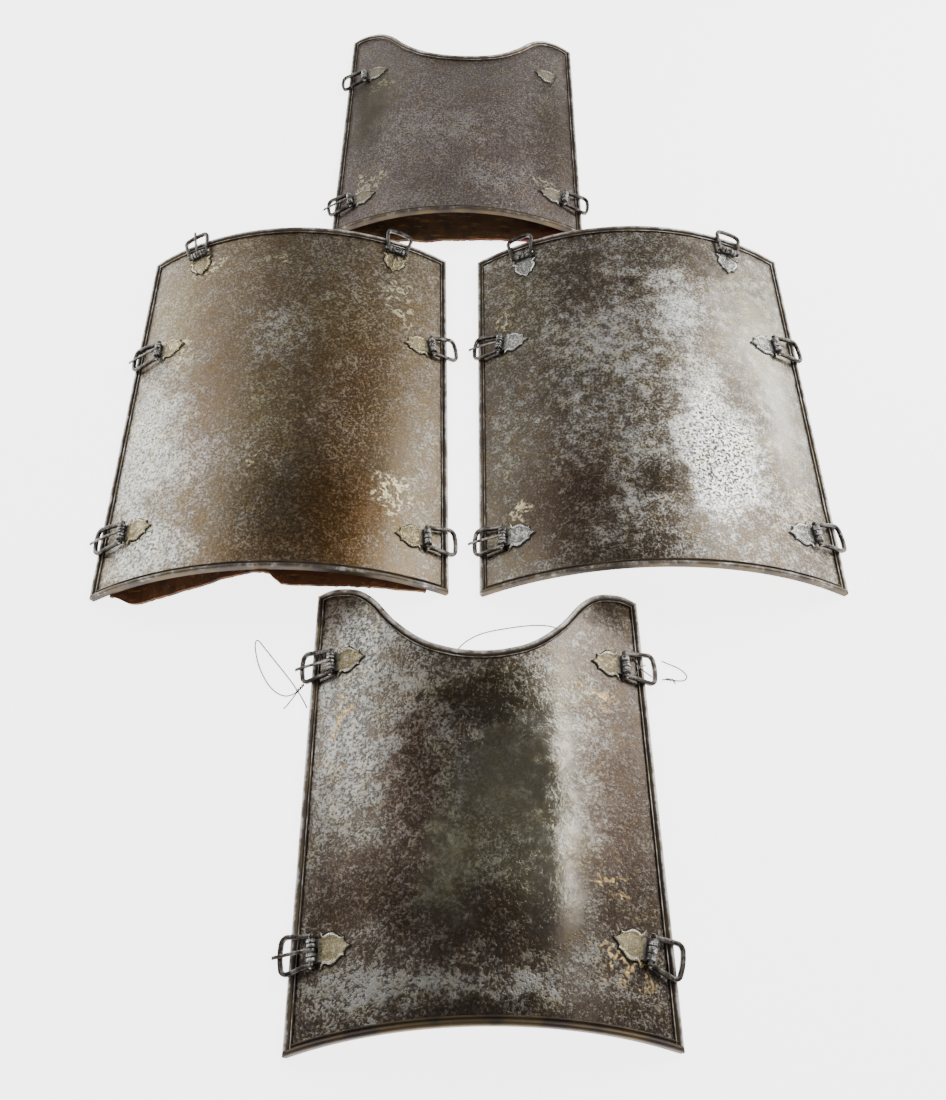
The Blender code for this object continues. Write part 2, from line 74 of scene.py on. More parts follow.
# %% [markdown]
# ## The curved faces
#
# Each plate is a part of a cylinder. Everything on it is placed by three lengths: across it from its
# middle, up it, and out of its face. One small class turns those into places in the room, for whole arrays of
# points at once, so the sheet, the rim and the fittings all follow the same curve.

# %% Sizes of the plates, as in the solid model
REST_HEIGHT = 0.0016
SHEET = 0.0016
SEAT_GAP = 0.0003
PLATE_WORDS = ("chord", "length", "rise", "x", "y", "turn", "cut_depth", "slant", "hollow")
PLATES = {
    "left": (0.2144, 0.2887, 0.0340, -0.1224, 0.3272, 1.1, 0.0, 0.0, 0.0),
    "right": (0.2209, 0.2883, 0.0345, 0.1150, 0.3286, 0.1, 0.0, 0.0, 0.0),
    "lower": (0.1897, 0.2510, 0.0261, 0.0050, 0.0754, 0.6, 0.0490, 0.0035, 0.0090),
    "upper": (0.1909, 0.2450, 0.0240, -0.0122, 0.6483, -0.5, 0.0510, 0.0065, 0.0),
}
CUT_OUT = (
    (0.00, 1.00), (0.15, 0.965), (0.32, 0.83), (0.48, 0.56), (0.60, 0.26), (0.70, 0.095),
    (0.80, 0.025), (0.90, 0.0), (1.00, 0.03))


def smooth_table(table, x, column=1):
    """A smooth curve through a short table, one of its columns against the first."""
    points = [(row[0], row[column]) for row in table]
    last = len(points) - 2
    k = sum(1 for place, _ in points[1:-1] if place <= x)
    (x0, y0), (x1, y1) = points[k], points[k + 1]
    before = points[k - 1] if k else (x0 - (x1 - x0), y1)
    after = points[k + 2] if k < last else (x1 + (x1 - x0), y1)
    t = (x - x0) / (x1 - x0)
    rise0 = (y1 - before[1]) / (x1 - before[0]) * (x1 - x0)
    rise1 = (after[1] - y0) / (after[0] - x0) * (x1 - x0)
    a = 2 * y0 - 2 * y1 + rise0 + rise1
    b = 3 * y1 - 3 * y0 - 2 * rise0 - rise1
    return ((a * t + b) * t + rise0) * t + y0


class Face:
    """One plate's curved face: s runs across it from its middle, y up it and n out of it."""

    def __init__(self, values):
        size = dict(zip(PLATE_WORDS, values))
        half_chord = size["chord"] / 2
        half_angle = 2 * math.atan(size["rise"] / half_chord)
        self.size = size
        self.radius = half_chord / math.sin(half_angle)
        self.half_arc = self.radius * half_angle
        self.drop = self.radius * math.cos(half_angle) - REST_HEIGHT
        turn = Matrix.Rotation(math.radians(size["turn"]), 4, "Z")
        self.place = Matrix.Translation(LAYOUT_SHIFT + Vector((size["x"], size["y"], 0.0))) @ turn

    def world(self, s, y, n=0.0):
        """Places in the room."""
        s, y, n = np.broadcast_arrays(s, y, n)
        angle, r = s / self.radius, self.radius + n
        local = np.stack([r * np.sin(angle), y, r * np.cos(angle) - self.drop], axis=-1)
        return local @ np.array(self.place.to_3x3()).T + np.array(self.place.translation)

    def table_depth(self, s):
        """How far in from the face the table's foot lies, measured square to the face."""
        return self.radius - self.drop / np.cos(s / self.radius)

    def lower_edge(self, share):
        return self.size["hollow"] * (1 - share * share)

    def upper_edge(self, share):
        cut = np.array([smooth_table(CUT_OUT, x) for x in np.abs(np.atleast_1d(share))])
        return self.size["length"] - self.size["cut_depth"] * cut - self.size["slant"] * share


faces_of = {name: Face(values) for name, values in PLATES.items()}
for name, face in faces_of.items():
    print(name, "radius", round(face.radius, 4), "half arc", round(face.half_arc, 4))

# %% [markdown]
# ## From points to pieces
#
# Every hand-made piece here is a grid or a row of rings. Two helpers join them into closed shells. Others
# make the mesh, turn its faces outwards, and say which body the piece moves with and which solid it
# stands for.

# %% Helpers that join points


def shell(top, under):
    """Joins two grids of the same size into one closed sheet."""
    rows, columns = top.shape[:2]
    half = rows * columns
    index = np.arange(half).reshape(rows, columns)
    corners = [index[:-1, :-1], index[:-1, 1:], index[1:, 1:], index[1:, :-1]]
    quads = np.stack(corners, axis=-1).reshape(-1, 4)
    border = np.concatenate([index[0, :-1], index[:-1, -1], index[-1, :0:-1], index[:0:-1, 0]])
    after = np.roll(border, -1)
    wall = np.stack([after, border, border + half, after + half], axis=-1)
    faces = np.concatenate([quads, quads[:, ::-1] + half, wall])
    return np.concatenate([top.reshape(-1, 3), under.reshape(-1, 3)]), faces.tolist()


def tube(rings, closed=False):
    """Joins rings of as many points each, with flat ends where the run is open."""
    count, size = rings.shape[:2]
    faces = []
    for k in range(count if closed else count - 1):
        near, far = k * size, (k + 1) % count * size
        faces += [(near + j, near + (j + 1) % size, far + (j + 1) % size, far + j) for j in range(size)]
    if not closed:
        faces += [tuple(range(size))[::-1], tuple(range((count - 1) * size, count * size))]
    return rings.reshape(-1, 3), faces


def joined(parts):
    """Several shells as one list of points and faces."""
    points, faces, start = [], [], 0
    for part_points, part_faces in parts:
        points.append(np.asarray(part_points, float))
        faces += [tuple(start + k for k in face) for face in part_faces]
        start += len(part_points)
    return np.concatenate(points), faces


def make_mesh(name, points, faces, numbers=None, sharp=40.0):
    """A mesh with its faces outwards. numbers holds named values for each point."""
    mesh = bpy.data.meshes.new(name)
    mesh.from_pydata(np.asarray(points).tolist(), [], faces)
    for title, values in (numbers or {}).items():
        values = np.asarray(values, dtype=np.float32)
        kind, key = ("FLOAT_VECTOR", "vector") if values.ndim == 2 else ("FLOAT", "value")
        mesh.attributes.new(title, kind, "POINT").data.foreach_set(key, values.ravel())
    body = bmesh.new()
    body.from_mesh(mesh)
    bmesh.ops.recalc_face_normals(body, faces=body.faces)
    body.to_mesh(mesh)
    body.free()
    mesh.shade_smooth()
    mesh.set_sharp_from_angle(angle=math.radians(sharp))
    return mesh


def show(name, mesh, material, slot, body, *stands_for):
    """Puts a finished mesh in the room as a piece of a body, and in place of the solids it stands for."""
    mesh.name = name
    mesh.materials.clear()
    if material:
        mesh.materials.append(material)
    piece = bpy.data.objects.new(name, mesh)
    bpy.context.collection.objects.link(piece)
    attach(piece, body)
    if stands_for:
        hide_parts(*stands_for)
    return piece


def ripple(points, size, seed):
    """Smooth noise from about -1 to 1 at each point."""
    shift = Vector((seed * 3.1, seed * 1.7, seed * 0.9))
    return np.array([noise.noise(Vector(p) / size + shift) for p in np.asarray(points).reshape(-1, 3)])


print("helpers are ready")

# %% [markdown]
# ## The thin wire
#
# Bare thin iron wire is tied to the lower plate's upper fittings, perhaps once to hang it up, and three
# runs of it show. Wire like this keeps the loops it was bent into and lies on the table. Each run is a round
# tube along one smooth line, and its length is printed. Short tails and twists belong to a run.

# %% Turn picture places into places on the table
PICTURE_CENTRE = (473.0, 550.0)
PICTURE_FOCUS = 1071.0
LYING_HEIGHT_MM = 0.45


def on_table(px, py, height_mm=LYING_HEIGHT_MM):
    """The place at a height over the table that the camera sees at a picture point."""
    across = (px - PICTURE_CENTRE[0]) / PICTURE_FOCUS
    up = (PICTURE_CENTRE[1] - py) / PICTURE_FOCUS
    ray = camera.rotation_euler.to_matrix() @ Vector((across, up, -1.0))
    return camera.location + ray * ((height_mm / 1000 - CAMERA_HEIGHT) / ray.z)


# %% Trace the wire
WIRE_WIDTH = 0.0007
WIRE_SIDES = 8
COIL_SHARE = 0.8
LINE_STEPS = 4
COIL_STEPS = 24
# Picture x and y, and the height in mm where it isn't just lying there
WIRES = {
    "left_wire": (
        (307, 708), (303, 700), (298.5, 692.5), (290, 680), (275, 661), (265, 648.5), (259.8, 642),
        (257, 640.4), (255.4, 643.5), (255.5, 650), (257.5, 661), (262, 673.5), (269, 685.5), (277, 693),
        (285, 696), (292, 694.8, 0.60), (297.3, 691.4, 1.50), (300.5, 688, 1.60), (303.4, 684.6, 1.60)),
    "middle_wire": (
        (452, 655), (461, 646), (467, 641), (477, 635.5), (490, 631.5), (505, 628.8), (520, 626.6),
        (535, 625.4), (548, 626), (557, 628.5), (566, 633)),
    "right_wire": (
        (661.5, 661.3, 1.60), (668, 664, 0.90), (676, 667.2, 0.50), (682.5, 671.2), (686.3, 675.5),
        (686.4, 678.6), (683.3, 680.7), (678.5, 681), (673, 680.2, 0.60), (668, 679.2, 0.90),
        (661.8, 680, 1.30)),
}
# The run that it belongs to, its turns round it, and its line
TAILS = {
    "left_twist": ("left_wire", 4.5, ((296.6, 692, 1.45), (300.5, 688, 1.60), (303.6, 684.4, 1.60))),
    "left_tail": (
        "left_wire", 0.0,
        ((297, 692.4, 1.30), (294.5, 695.8, 0.60), (290.5, 701), (286.5, 706), (283.4, 708.8))),
    "right_twist": ("right_wire", 3.0, ((666, 679.2, 0.95), (669.5, 679.5, 0.90), (673.5, 680.4, 0.90))),
    "right_cut_end": (
        "right_wire", 0.0, ((632.5, 657.5, 13.2), (636.5, 662.5, 13.0), (640, 668, 12.0), (652, 677, 8.0))),
    "right_bent_end": (
        "right_wire", 0.0,
        ((634.5, 675, 13.9), (637.5, 670.5, 13.5), (639.8, 667.2, 13.2), (645.5, 665.4, 11.6))),
    "right_tail": ("right_wire", 0.0, ((673.3, 680.8, 1.20), (674.6, 682, 0.60), (675.2, 684.2))),
}


def smooth_line(places, steps=LINE_STEPS):
    """A smooth line through a few places."""
    line = []
    for k in range(len(places) - 1):
        before = places[max(k - 1, 0)]
        after = places[min(k + 2, len(places) - 1)]
        here, there = places[k], places[k + 1]
        for j in range(steps):
            t = j / steps
            a, b = (there - before) / 2, (after - here) / 2
            line.append(
                here * (2 * t ** 3 - 3 * t ** 2 + 1) + there * (3 * t ** 2 - 2 * t ** 3)
                + a * (t ** 3 - 2 * t ** 2 + t) + b * (t ** 3 - t ** 2))
    return line + [places[-1]]


def beside(line, k, turn, radius):
    """The place at a radius from the line's point k, turned round the line."""
    along = (line[min(k + 1, len(line) - 1)] - line[max(k - 1, 0)]).normalized()
    over = along.cross(Vector((0.0, 0.0, 1.0))).normalized()
    off = over.cross(along)
    return line[k] + (over * math.cos(turn) + off * math.sin(turn)) * radius


def coiled(places, turns, radius):
    """The line of a wire wound round another line."""
    line = smooth_line(places, COIL_STEPS)
    last = len(line) - 1
    return [beside(line, k, 2 * math.pi * turns * k / last, radius) for k in range(len(line))]


def wire_piece(name, line):
    """A round tube along the line, made as rings square to it."""
    turns = [2 * math.pi * j / WIRE_SIDES for j in range(WIRE_SIDES)]
    rings = [[beside(line, k, turn, WIRE_WIDTH / 2) for turn in turns] for k in range(len(line))]
    points, faces = tube(np.array(rings))
    mesh = bpy.data.meshes.new(name)
    mesh.from_pydata(points.tolist(), [], faces)
    mesh.shade_smooth()
    return show(name, mesh, None, "frame", "plates")


wires = {}
for name, (_, turns, rows) in TAILS.items():
    places = [on_table(*row) for row in rows]
    line = coiled(places, turns, WIRE_WIDTH * COIL_SHARE) if turns else smooth_line(places)
    wires[name] = wire_piece(name, line)
print("tails and twists:", list(wires))

for name, rows in WIRES.items():
    line = smooth_line([on_table(*row) for row in rows])
    wires[name] = wire_piece(name, line)
    length = sum((b - a).length for a, b in zip(line, line[1:]))
    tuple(line[0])
    [wires[tail] for tail in TAILS if TAILS[tail][0] == name]
    print(name, "length", round(length, 4))

# %% [markdown]
# ## Finishes as arithmetic
#
# Old iron is never one colour: bare metal, brown oxide and remains of gilding lie over each other in
# patches. Each of those is a mask, a number from 0 to 1 that changes over the surface. A small class lets the
# masks be added and multiplied like ordinary numbers, and each step adds its own Math node.

# %% A number that changes over a surface


class Amount:
    """A number that varies over the surface, written like ordinary arithmetic."""

    def __init__(self, finish, socket):
        self.finish = finish
        self.socket = socket

    def math(self, operation, *values):
        return self.finish.amount("ShaderNodeMath", {"operation": operation}, dict(enumerate(values)))

    def size(self):
        return self.math("ABSOLUTE", self)

    def at_most(self, limit):
        return self.math("MINIMUM", self, limit)

    def __add__(self, other):
        return self.math("ADD", self, other)

    __radd__ = __add__

    def __sub__(self, other):
        return self.math("SUBTRACT", self, other)

    def __rsub__(self, other):
        return self.math("SUBTRACT", other, self)

    def __mul__(self, other):
        return self.math("MULTIPLY", self, other)

    __rmul__ = __mul__

    def clamped(self):
        return self.math("MAXIMUM", self.at_most(1.0), 0.0)

    def step(self, low, high, before=0.0, after=1.0):
        """0 below low, 1 above high and a soft edge between, or two other values than 0 and 1."""
        return self.finish.amount(
            "ShaderNodeMapRange", {"interpolation_type": "SMOOTHSTEP"},
            {"Value": self, "From Min": low, "From Max": high, "To Min": before, "To Max": after})


class Nodes:
    """A tree of nodes, for a finish or for a shape."""

    def feed(self, socket, value):
        """Links a socket or an amount to a socket, or sets its value."""
        if isinstance(value, Amount):
            value = value.socket
        if isinstance(value, bpy.types.NodeSocket):
            self.tree.links.new(value, socket)
        else:
            socket.default_value = (*value, 1.0) if socket.type == "RGBA" else value

    def add(self, kind, settings=None, values=None):
        """Any node: its settings first (a ramp's stops among them), then its values or links."""
        node = self.tree.nodes.new(kind)
        for key, value in (settings or {}).items():
            if key == "stops":
                elements = node.color_ramp.elements
                while len(elements) < len(value):
                    elements.new(0.5)
                for element, (position, colour) in zip(elements, value):
                    element.position = position
                    element.color = (*colour, 1.0)
            else:
                setattr(node, key, value)
        for key, value in (values or {}).items():
            self.feed(node.inputs[key], value)
        return node


class Finish(Nodes):
    """One worn surface. add() makes any node; the rest are the few patterns that every finish here uses."""

    def __init__(self, name):
        self.material = bpy.data.materials.new(name)
        self.material.use_nodes = True
        self.tree = self.material.node_tree
        self.shader = self.tree.nodes["Principled BSDF"]
        self.room = self.add("ShaderNodeTexCoord").outputs["Object"]

    def amount(self, kind, settings, values=None, out=0):
        return Amount(self, self.add(kind, settings, values).outputs[out])

    def own(self, name):
        """A number that the mesh itself carries."""
        return self.amount("ShaderNodeAttribute", {"attribute_name": name}, out="Fac")

    def own_place(self, name):
        """A place that the mesh itself carries."""
        return self.add("ShaderNodeAttribute", {"attribute_name": name}).outputs["Vector"]

    def noise(self, size, detail=3.0, roughness=0.55, seed=0.0, stretch=None):
        """Cloudy noise from 0 to 1 whose patches are about size metres across."""
        place = self.room
        if stretch:
            place = self.add("ShaderNodeMapping", None, {"Vector": place, "Scale": stretch}).outputs[0]
        return self.amount(
            "ShaderNodeTexNoise", {"noise_dimensions": "4D"},
            {"Vector": place, "W": seed, "Scale": 1.0 / size, "Detail": detail, "Roughness": roughness})

    def cells(self, size, at):
        """Distance from the middle of the nearest cell of a flat pattern, for pits."""
        return self.amount(
            "ShaderNodeTexVoronoi", {"voronoi_dimensions": "2D"},
            {"Vector": at, "Scale": 1.0 / size, "Randomness": 1.0}, "Distance")

    def mix(self, amount, first, second, blend="MIX"):
        """Colours: first where amount is 0 and second where it is 1, or with MULTIPLY both, multiplied."""
        return self.add(
            "ShaderNodeMix", {"data_type": "RGBA", "blend_type": blend, "clamp_factor": True},
            {"Factor": amount, 6: first, 7: second}).outputs[2]

    def ramp(self, amount, stops):
        """Colours in order along a number from 0 to 1."""
        return self.add("ShaderNodeValToRGB", {"stops": stops}, {0: amount}).outputs[0]

    def relief(self, height, depth):
        """Small bumps, depth metres high, on the shader's normal."""
        bump = self.add("ShaderNodeBump", None, {"Height": height, "Distance": depth, "Strength": 1.0})
        self.feed(self.shader.inputs["Normal"], bump.outputs[0])

    def surface(self, colour, roughness, metallic):
        for title, value in (("Base Color", colour), ("Roughness", roughness), ("Metallic", metallic)):
            self.feed(self.shader.inputs[title], value)


print("finishes are ready to mix")

# %% [markdown]
# ## The plates' finish
#
# The plates were once polished and are now brown. The bright, rusty, dark, greenish and gilded areas differ
# from plate to plate, so each plate has a short table of soft ovals on its own face. Their edges are torn up
# by noise, and inside them a finer noise decides which specks are bare metal. The face carries its
# own across-and-up lengths, because a pattern on them stays with the plate.

# %% Where the patches lie on each face
# For each kind: across, up, half width and half height in mm, and strength
PATCHES = {
    "left": {
        "bright": (
            (-92, 100, 30, 90, 0.8), (-75, 20, 36, 26, 0.65), (100, 80, 16, 90, 0.22),
            (-5, 190, 22, 30, 0.25), (-50, 80, 24, 70, 0.35)),
        "dark": (
            (20, 35, 54, 60, 0.8), (45, 100, 40, 110, 0.45), (-38, 110, 26, 100, 0.25),
            (82, 140, 34, 140, 0.35), (-50, 190, 30, 70, 0.3)),
        "rust": ((45, 130, 34, 110, 0.5), (44, 36, 34, 50, 0.9), (0, 10, 50, 20, 0.4)),
        "plum": ((-48, 120, 18, 130, 0.5),),
        "green": ((35, 200, 30, 40, 0.7), (-5, 120, 22, 40, 0.7), (-85, 230, 24, 50, 0.8)),
        "gold": (
            (-66, 262, 14, 18, 1.0), (77, 231, 12, 30, 0.8), (78, 62, 14, 24, 1.0),
            (-75, 180, 14, 13, 0.8), (-12, 80, 14, 10, 0.8), (-12, 255, 20, 6, 0.8)),
    },
    "right": {
        "bright": (
            (40, 85, 30, 46, 2.2), (26, 210, 20, 46, 0.55), (-30, 171, 50, 52, 0.3),
            (32, 140, 18, 30, 0.6), (-20, 50, 30, 12, 0.3), (-98, 120, 16, 90, 0.3)),
        "dark": (
            (-62, 50, 45, 50, 0.9), (-3, 62, 24, 14, 0.8), (-100, 140, 30, 160, 0.95),
            (-55, 237, 34, 44, 0.5), (-6, 229, 9, 9, 1.0), (-18, 7, 60, 18, 0.7), (-62, 140, 22, 60, 0.5),
            (35, 262, 50, 18, 0.7), (62, 130, 14, 30, 0.4)),
        "plum": ((-55, 53, 40, 50, 0.7), (-30, 220, 30, 60, 0.3)),
        "green": ((-100, 65, 24, 80, 0.4), (-85, 230, 34, 60, 0.4), (90, 220, 24, 60, 0.6)),
        "satin": ((85, 210, 36, 75, 1.0), (94, 120, 22, 60, 0.9)),
        "gold": ((92, 55, 14, 18, 0.9), (-88, 57, 12, 10, 0.9), (-96, 215, 10, 10, 0.7)),
    },
    "lower": {
        "bright": (
            (-70, 212, 26, 46, 0.75), (-72, 140, 28, 40, 0.75), (-36, 174, 20, 22, 0.6),
            (-52, 28, 40, 12, 0.75), (46, 35, 34, 14, 0.4), (64, 150, 16, 50, 0.12),
            (40, 186, 36, 12, 0.08), (0, 28, 30, 10, 0.4), (-18, 85, 18, 34, 0.3)),
        "dark": (
            (-34, 140, 16, 40, 0.7), (-56, 70, 36, 22, 0.9), (0, 54, 50, 24, 0.9), (4, 172, 34, 20, 1.2),
            (82, 110, 24, 110, 0.9), (5, 8, 100, 14, 1.2), (55, 50, 36, 40, 0.7), (80, 236, 18, 14, 1.0),
            (-86, 80, 14, 70, 0.6), (10, 145, 30, 30, 0.3)),
        "plum": (
            (-36, 125, 16, 70, 0.9), (-60, 70, 30, 26, 0.7), (78, 120, 24, 80, 0.5), (0, 50, 36, 22, 0.5)),
        "green": ((-14, 90, 20, 36, 1.0), (20, 110, 26, 60, 0.8), (0, 180, 60, 20, 0.5)),
        "satin": (
            (40, 120, 18, 85, 1.0), (-18, 85, 20, 36, 0.8), (20, 120, 26, 80, 0.6),
            (10, 130, 30, 30, 0.5)),
        "gold": (
            (66, 178, 14, 12, 0.8), (71, 40, 18, 20, 0.75), (70, 76, 10, 12, 0.6), (-80, 170, 8, 40, 0.7)),
    },
    "upper": {
        "bright": ((-10, 100, 40, 40, 0.45), (20, 45, 34, 20, 0.4)),
        "dark": (
            (-6, 47, 20, 20, 0.25), (46, 100, 22, 30, 0.2), (80, 100, 26, 120, 0.9),
            (-82, 100, 22, 110, 0.6)),
        "plum": ((0, 90, 60, 70, 0.3),),
        "green": ((-74, 150, 26, 60, 0.7), (80, 120, 20, 90, 0.5)),
        "satin": ((-74, 150, 26, 60, 0.7),),
        "gold": ((-70, 50, 16, 16, 1.0), (60, 45, 18, 12, 0.9), (-68, 172, 14, 8, 0.9)),
    },
}
print("patches:", {name: sum(map(len, kinds.values())) for name, kinds in PATCHES.items()})

# %% Mix the plates' iron
PATCH_KINDS = ("bright", "dark", "rust", "plum", "green", "satin", "gold")
TEAR_SCALE = 55.0
TEAR_REACH = 0.055
OVAL_EDGE = (0.15, 1.30)
TINTS = {
    "rust": (1.14, 0.90, 0.66), "plum": (1.00, 0.87, 0.86), "green": (1.01, 1.03, 0.85),
    "dark": (0.46, 0.445, 0.43), "straw": (1.02, 0.95, 0.74)}
SATIN_SHARE = (0.64, 0.62, 0.56)
MOST_COVER = 0.552
PIT_SIZE = 0.0028
PLATE_RELIEF = 0.00013


def held(share):
    """A share kept between 0 and 1, also where a plate has no patch of that kind."""
    return share.clamped() if isinstance(share, Amount) else min(max(share, 0.0), 1.0)


def scaled(colour, share):
    """A colour made darker or lighter."""
    return tuple(share * part for part in colour)


def plate_finish(name, seed, cover, clumps, film, speck_film, metal, gilding, roughness):
    """
    A dark film with specks of iron showing through it. cover is how much iron shows and clumps how far its
    specks gather. film and speck_film are the colours where little shows, and metal where most does.
    gilding is what is left of the gold.
    """
    finish = Finish(name + "_plate")
    face = finish.own_place("face")
    tear = finish.add(
        "ShaderNodeTexNoise", None,
        {"Vector": face, "Scale": TEAR_SCALE, "Detail": 6.0, "Roughness": 0.70})
    centred = finish.add(
        "ShaderNodeVectorMath", {"operation": "SUBTRACT"}, {0: tear.outputs["Color"], 1: (0.5, 0.5, 0.5)})
    torn = finish.add(
        "ShaderNodeVectorMath", {"operation": "MULTIPLY_ADD"},
        {0: centred.outputs[0], 1: (TEAR_REACH, TEAR_REACH, 0.0), 2: face}).outputs[0]
    totals = {kind: 0.0 for kind in PATCH_KINDS}
    for kind, ovals in PATCHES[name].items():
        for *lengths, strength in ovals:
            across, up, half_width, half_height = (length / 1000 for length in lengths)
            oval = finish.add(
                "ShaderNodeVectorMath", {"operation": "MULTIPLY_ADD"},
                {0: torn, 1: (1 / half_width, 1 / half_height, 0.0),
                 2: (-across / half_width, -up / half_height, 0.0)})
            reach = finish.amount(
                "ShaderNodeVectorMath", {"operation": "LENGTH"}, {0: oval.outputs[0]}, "Value")
            totals[kind] = reach.step(*OVAL_EDGE, strength, 0.0) + totals[kind]
    bright, dark, rust, plum, green, satin, gold = totals.values()

    grain = finish.noise(0.00085, 2.0, 0.60, seed)
    speck = finish.noise(0.0017, 3.0, 0.62, seed + 2.3)
    mottle = finish.noise(0.0062, 4.0, 0.62, seed + 3.1)
    cloud = finish.noise(0.0300, 4.0, 0.58, seed + 7.7)
    cover = cover + bright * 0.24 - dark * 0.05 + (cloud - 0.5) * 0.26 + (mottle - 0.5) * clumps
    loose = 1.0 - held(satin) * 0.70
    bare = (grain * 0.38 + speck * 0.62 - 0.5) * loose * 1.7 + cover.at_most(MOST_COVER)
    bare = bare + (mottle - 0.5) * held(bright) * 0.50
    bare = bare.step(0.36, 0.64)
    open_iron = cover.step(0.34, 0.70)
    under = finish.mix((grain * 0.6 + speck * 0.4).step(0.38, 0.60), scaled(film, 0.68), scaled(film, 1.30))
    under = finish.mix(open_iron * 0.90, under, scaled(metal, 0.23))
    colour = finish.mix(bare, under, finish.mix(open_iron, speck_film, metal))
    colour = finish.mix(held(satin) * 0.45, colour, tuple(a * b for a, b in zip(metal, SATIN_SHARE)))
    straw = finish.noise(0.0110, 3.0, 0.60, seed + 33.0).step(0.48, 0.64) * 0.55
    for kind, share in (("straw", straw), ("rust", rust), ("plum", plum), ("green", green), ("dark", dark)):
        if isinstance(share, Amount):
            colour = finish.mix(share.clamped(), colour, TINTS[kind], "MULTIPLY")
    pit = 1.0 - (finish.cells(PIT_SIZE, face) + (grain - 0.5) + (speck - 0.5) * 0.9).step(0.17, 0.42)
    pit = pit * held((bright + (mottle - 0.5) * 3.0) * 0.9 - 0.28)
    colour = finish.mix(pit * 0.80, colour, scaled(film, 0.7))
    scroll = (finish.noise(0.0075, 2.0, 0.55, seed + 21.0) - 0.5).size()
    flecks = 1.0 - scroll.step(0.030, 0.062)
    flecks = flecks * (finish.noise(0.0042, 2.0, 0.6, seed + 27.0) + gold * 0.08).step(0.50, 0.58)
    flecks = flecks * held(gold * 1.8 - 0.2)
    gold_leaf = finish.mix(speck.step(0.40, 0.60), scaled(gilding, 0.5), gilding)
    colour = finish.mix(flecks * 0.90, colour, gold_leaf)
    roughness = roughness - satin * 0.13 + (bare - 0.5) * 0.05 + pit * 0.2 + (mottle - 0.5) * 0.12
    finish.surface(colour, roughness.clamped(), (0.97 - pit * 0.4).clamped())
    finish.relief((bare * 0.7 + mottle * 0.5) * loose - pit * 0.8, PLATE_RELIEF)
    return finish.material


# Seed, cover and clumps, the colours of film, speck film, metal and gilding, and roughness
PLATE_IRON = {
    "left": (
        1.0, 0.41, 0.30, (0.152, 0.113, 0.070), (0.27, 0.225, 0.165), (0.72, 0.71, 0.65),
        (0.74, 0.66, 0.40), 0.40),
    "right": (
        13.0, 0.425, 0.50, (0.125, 0.100, 0.076), (0.33, 0.30, 0.245), (0.84, 0.83, 0.79),
        (0.62, 0.54, 0.33), 0.38),
    "lower": (
        29.0, 0.42, 0.55, (0.122, 0.098, 0.078), (0.27, 0.245, 0.20), (0.41, 0.40, 0.37),
        (0.62, 0.43, 0.19), 0.32),
    "upper": (
        47.0, 0.39, 0.30, (0.190, 0.154, 0.136), (0.35, 0.305, 0.275), (0.46, 0.43, 0.40),
        (0.60, 0.53, 0.33), 0.42),
}
plate_finishes = {name: plate_finish(name, *values) for name, values in PLATE_IRON.items()}
print("plate finishes:", list(plate_finishes))

# %% [markdown]
# ## The iron sheets
#
# A smith hammered each sheet to its curve and planished it, and later years dented it. The sheet is a fine
# grid that follows the plate's outline, so a hammer's soft waves and a few shallow dents can be real
# geometry. The finer pitting is left to the finish.

# %% Hammer the sheets
RIM_WALL = 0.0016
SHEET_COLUMNS = 120
SHEET_ROWS = 150
HAMMER_DEPTH = 0.00010
SHORT_WAVE, LONG_WAVE, LONG_WAVE_SHARE = 0.016, 0.045, 1.3
DENT_FALL = 2.2
EDGE_FADE = 12
# Across, up, half size and depth
DENTS = {
    "left": ((0.030, 0.205, 0.022, 0.0005), (-0.052, 0.120, 0.018, 0.0004), (0.058, 0.085, 0.020, 0.0004)),
    "right": ((0.045, 0.128, 0.026, 0.0005), (-0.035, 0.215, 0.020, 0.0004), (-0.020, 0.060, 0.024, 0.0005)),
    "lower": ((0.040, 0.115, 0.020, 0.0005), (-0.016, 0.092, 0.026, 0.0004), (-0.050, 0.180, 0.018, 0.0004)),
    "upper": ((0.020, 0.100, 0.024, 0.0004), (-0.040, 0.060, 0.018, 0.0003)),
}


def add_sheet(name, face, seed):
    """The iron sheet itself, with its hammer marks and dents."""
    edge = RIM_WALL + SEAT_GAP
    shares = np.linspace(-1, 1, SHEET_COLUMNS)
    s = shares * (face.half_arc - edge)
    high = face.upper_edge(shares)
    slope = np.gradient(high, shares * face.half_arc)
    low = face.lower_edge(shares) + edge
    high = high - edge * np.sqrt(1 + slope ** 2)
    y = low + (high - low) * np.linspace(0, 1, SHEET_ROWS)[:, None]
    s = np.broadcast_to(s, y.shape)
    flat = np.stack([s, y, 0 * y], axis=-1)
    waves = ripple(flat, SHORT_WAVE, seed) + LONG_WAVE_SHARE * ripple(flat, LONG_WAVE, seed + 5)
    n = HAMMER_DEPTH * waves.reshape(y.shape)
    for across, up, half, depth in DENTS[name]:
        reach = np.hypot(s - across, y - up) / half
        n = n - depth * np.exp(-DENT_FALL * reach ** 2)
    n = n * np.clip((1 - np.abs(shares)) * EDGE_FADE, 0, 1)
    points, quads = shell(face.world(s, y, n), face.world(s, y, n - SHEET))
    mesh = make_mesh(name, points, quads, {"face": np.concatenate([flat.reshape(-1, 3)] * 2)})
    return show(name + "_sheet", mesh, plate_finishes[name], "plate", "plates", name + "_plate")


for seed, (name, face) in enumerate(faces_of.items()):
    sheet = add_sheet(name, face, seed)
    print(sheet.name, "faces", len(sheet.data.polygons))
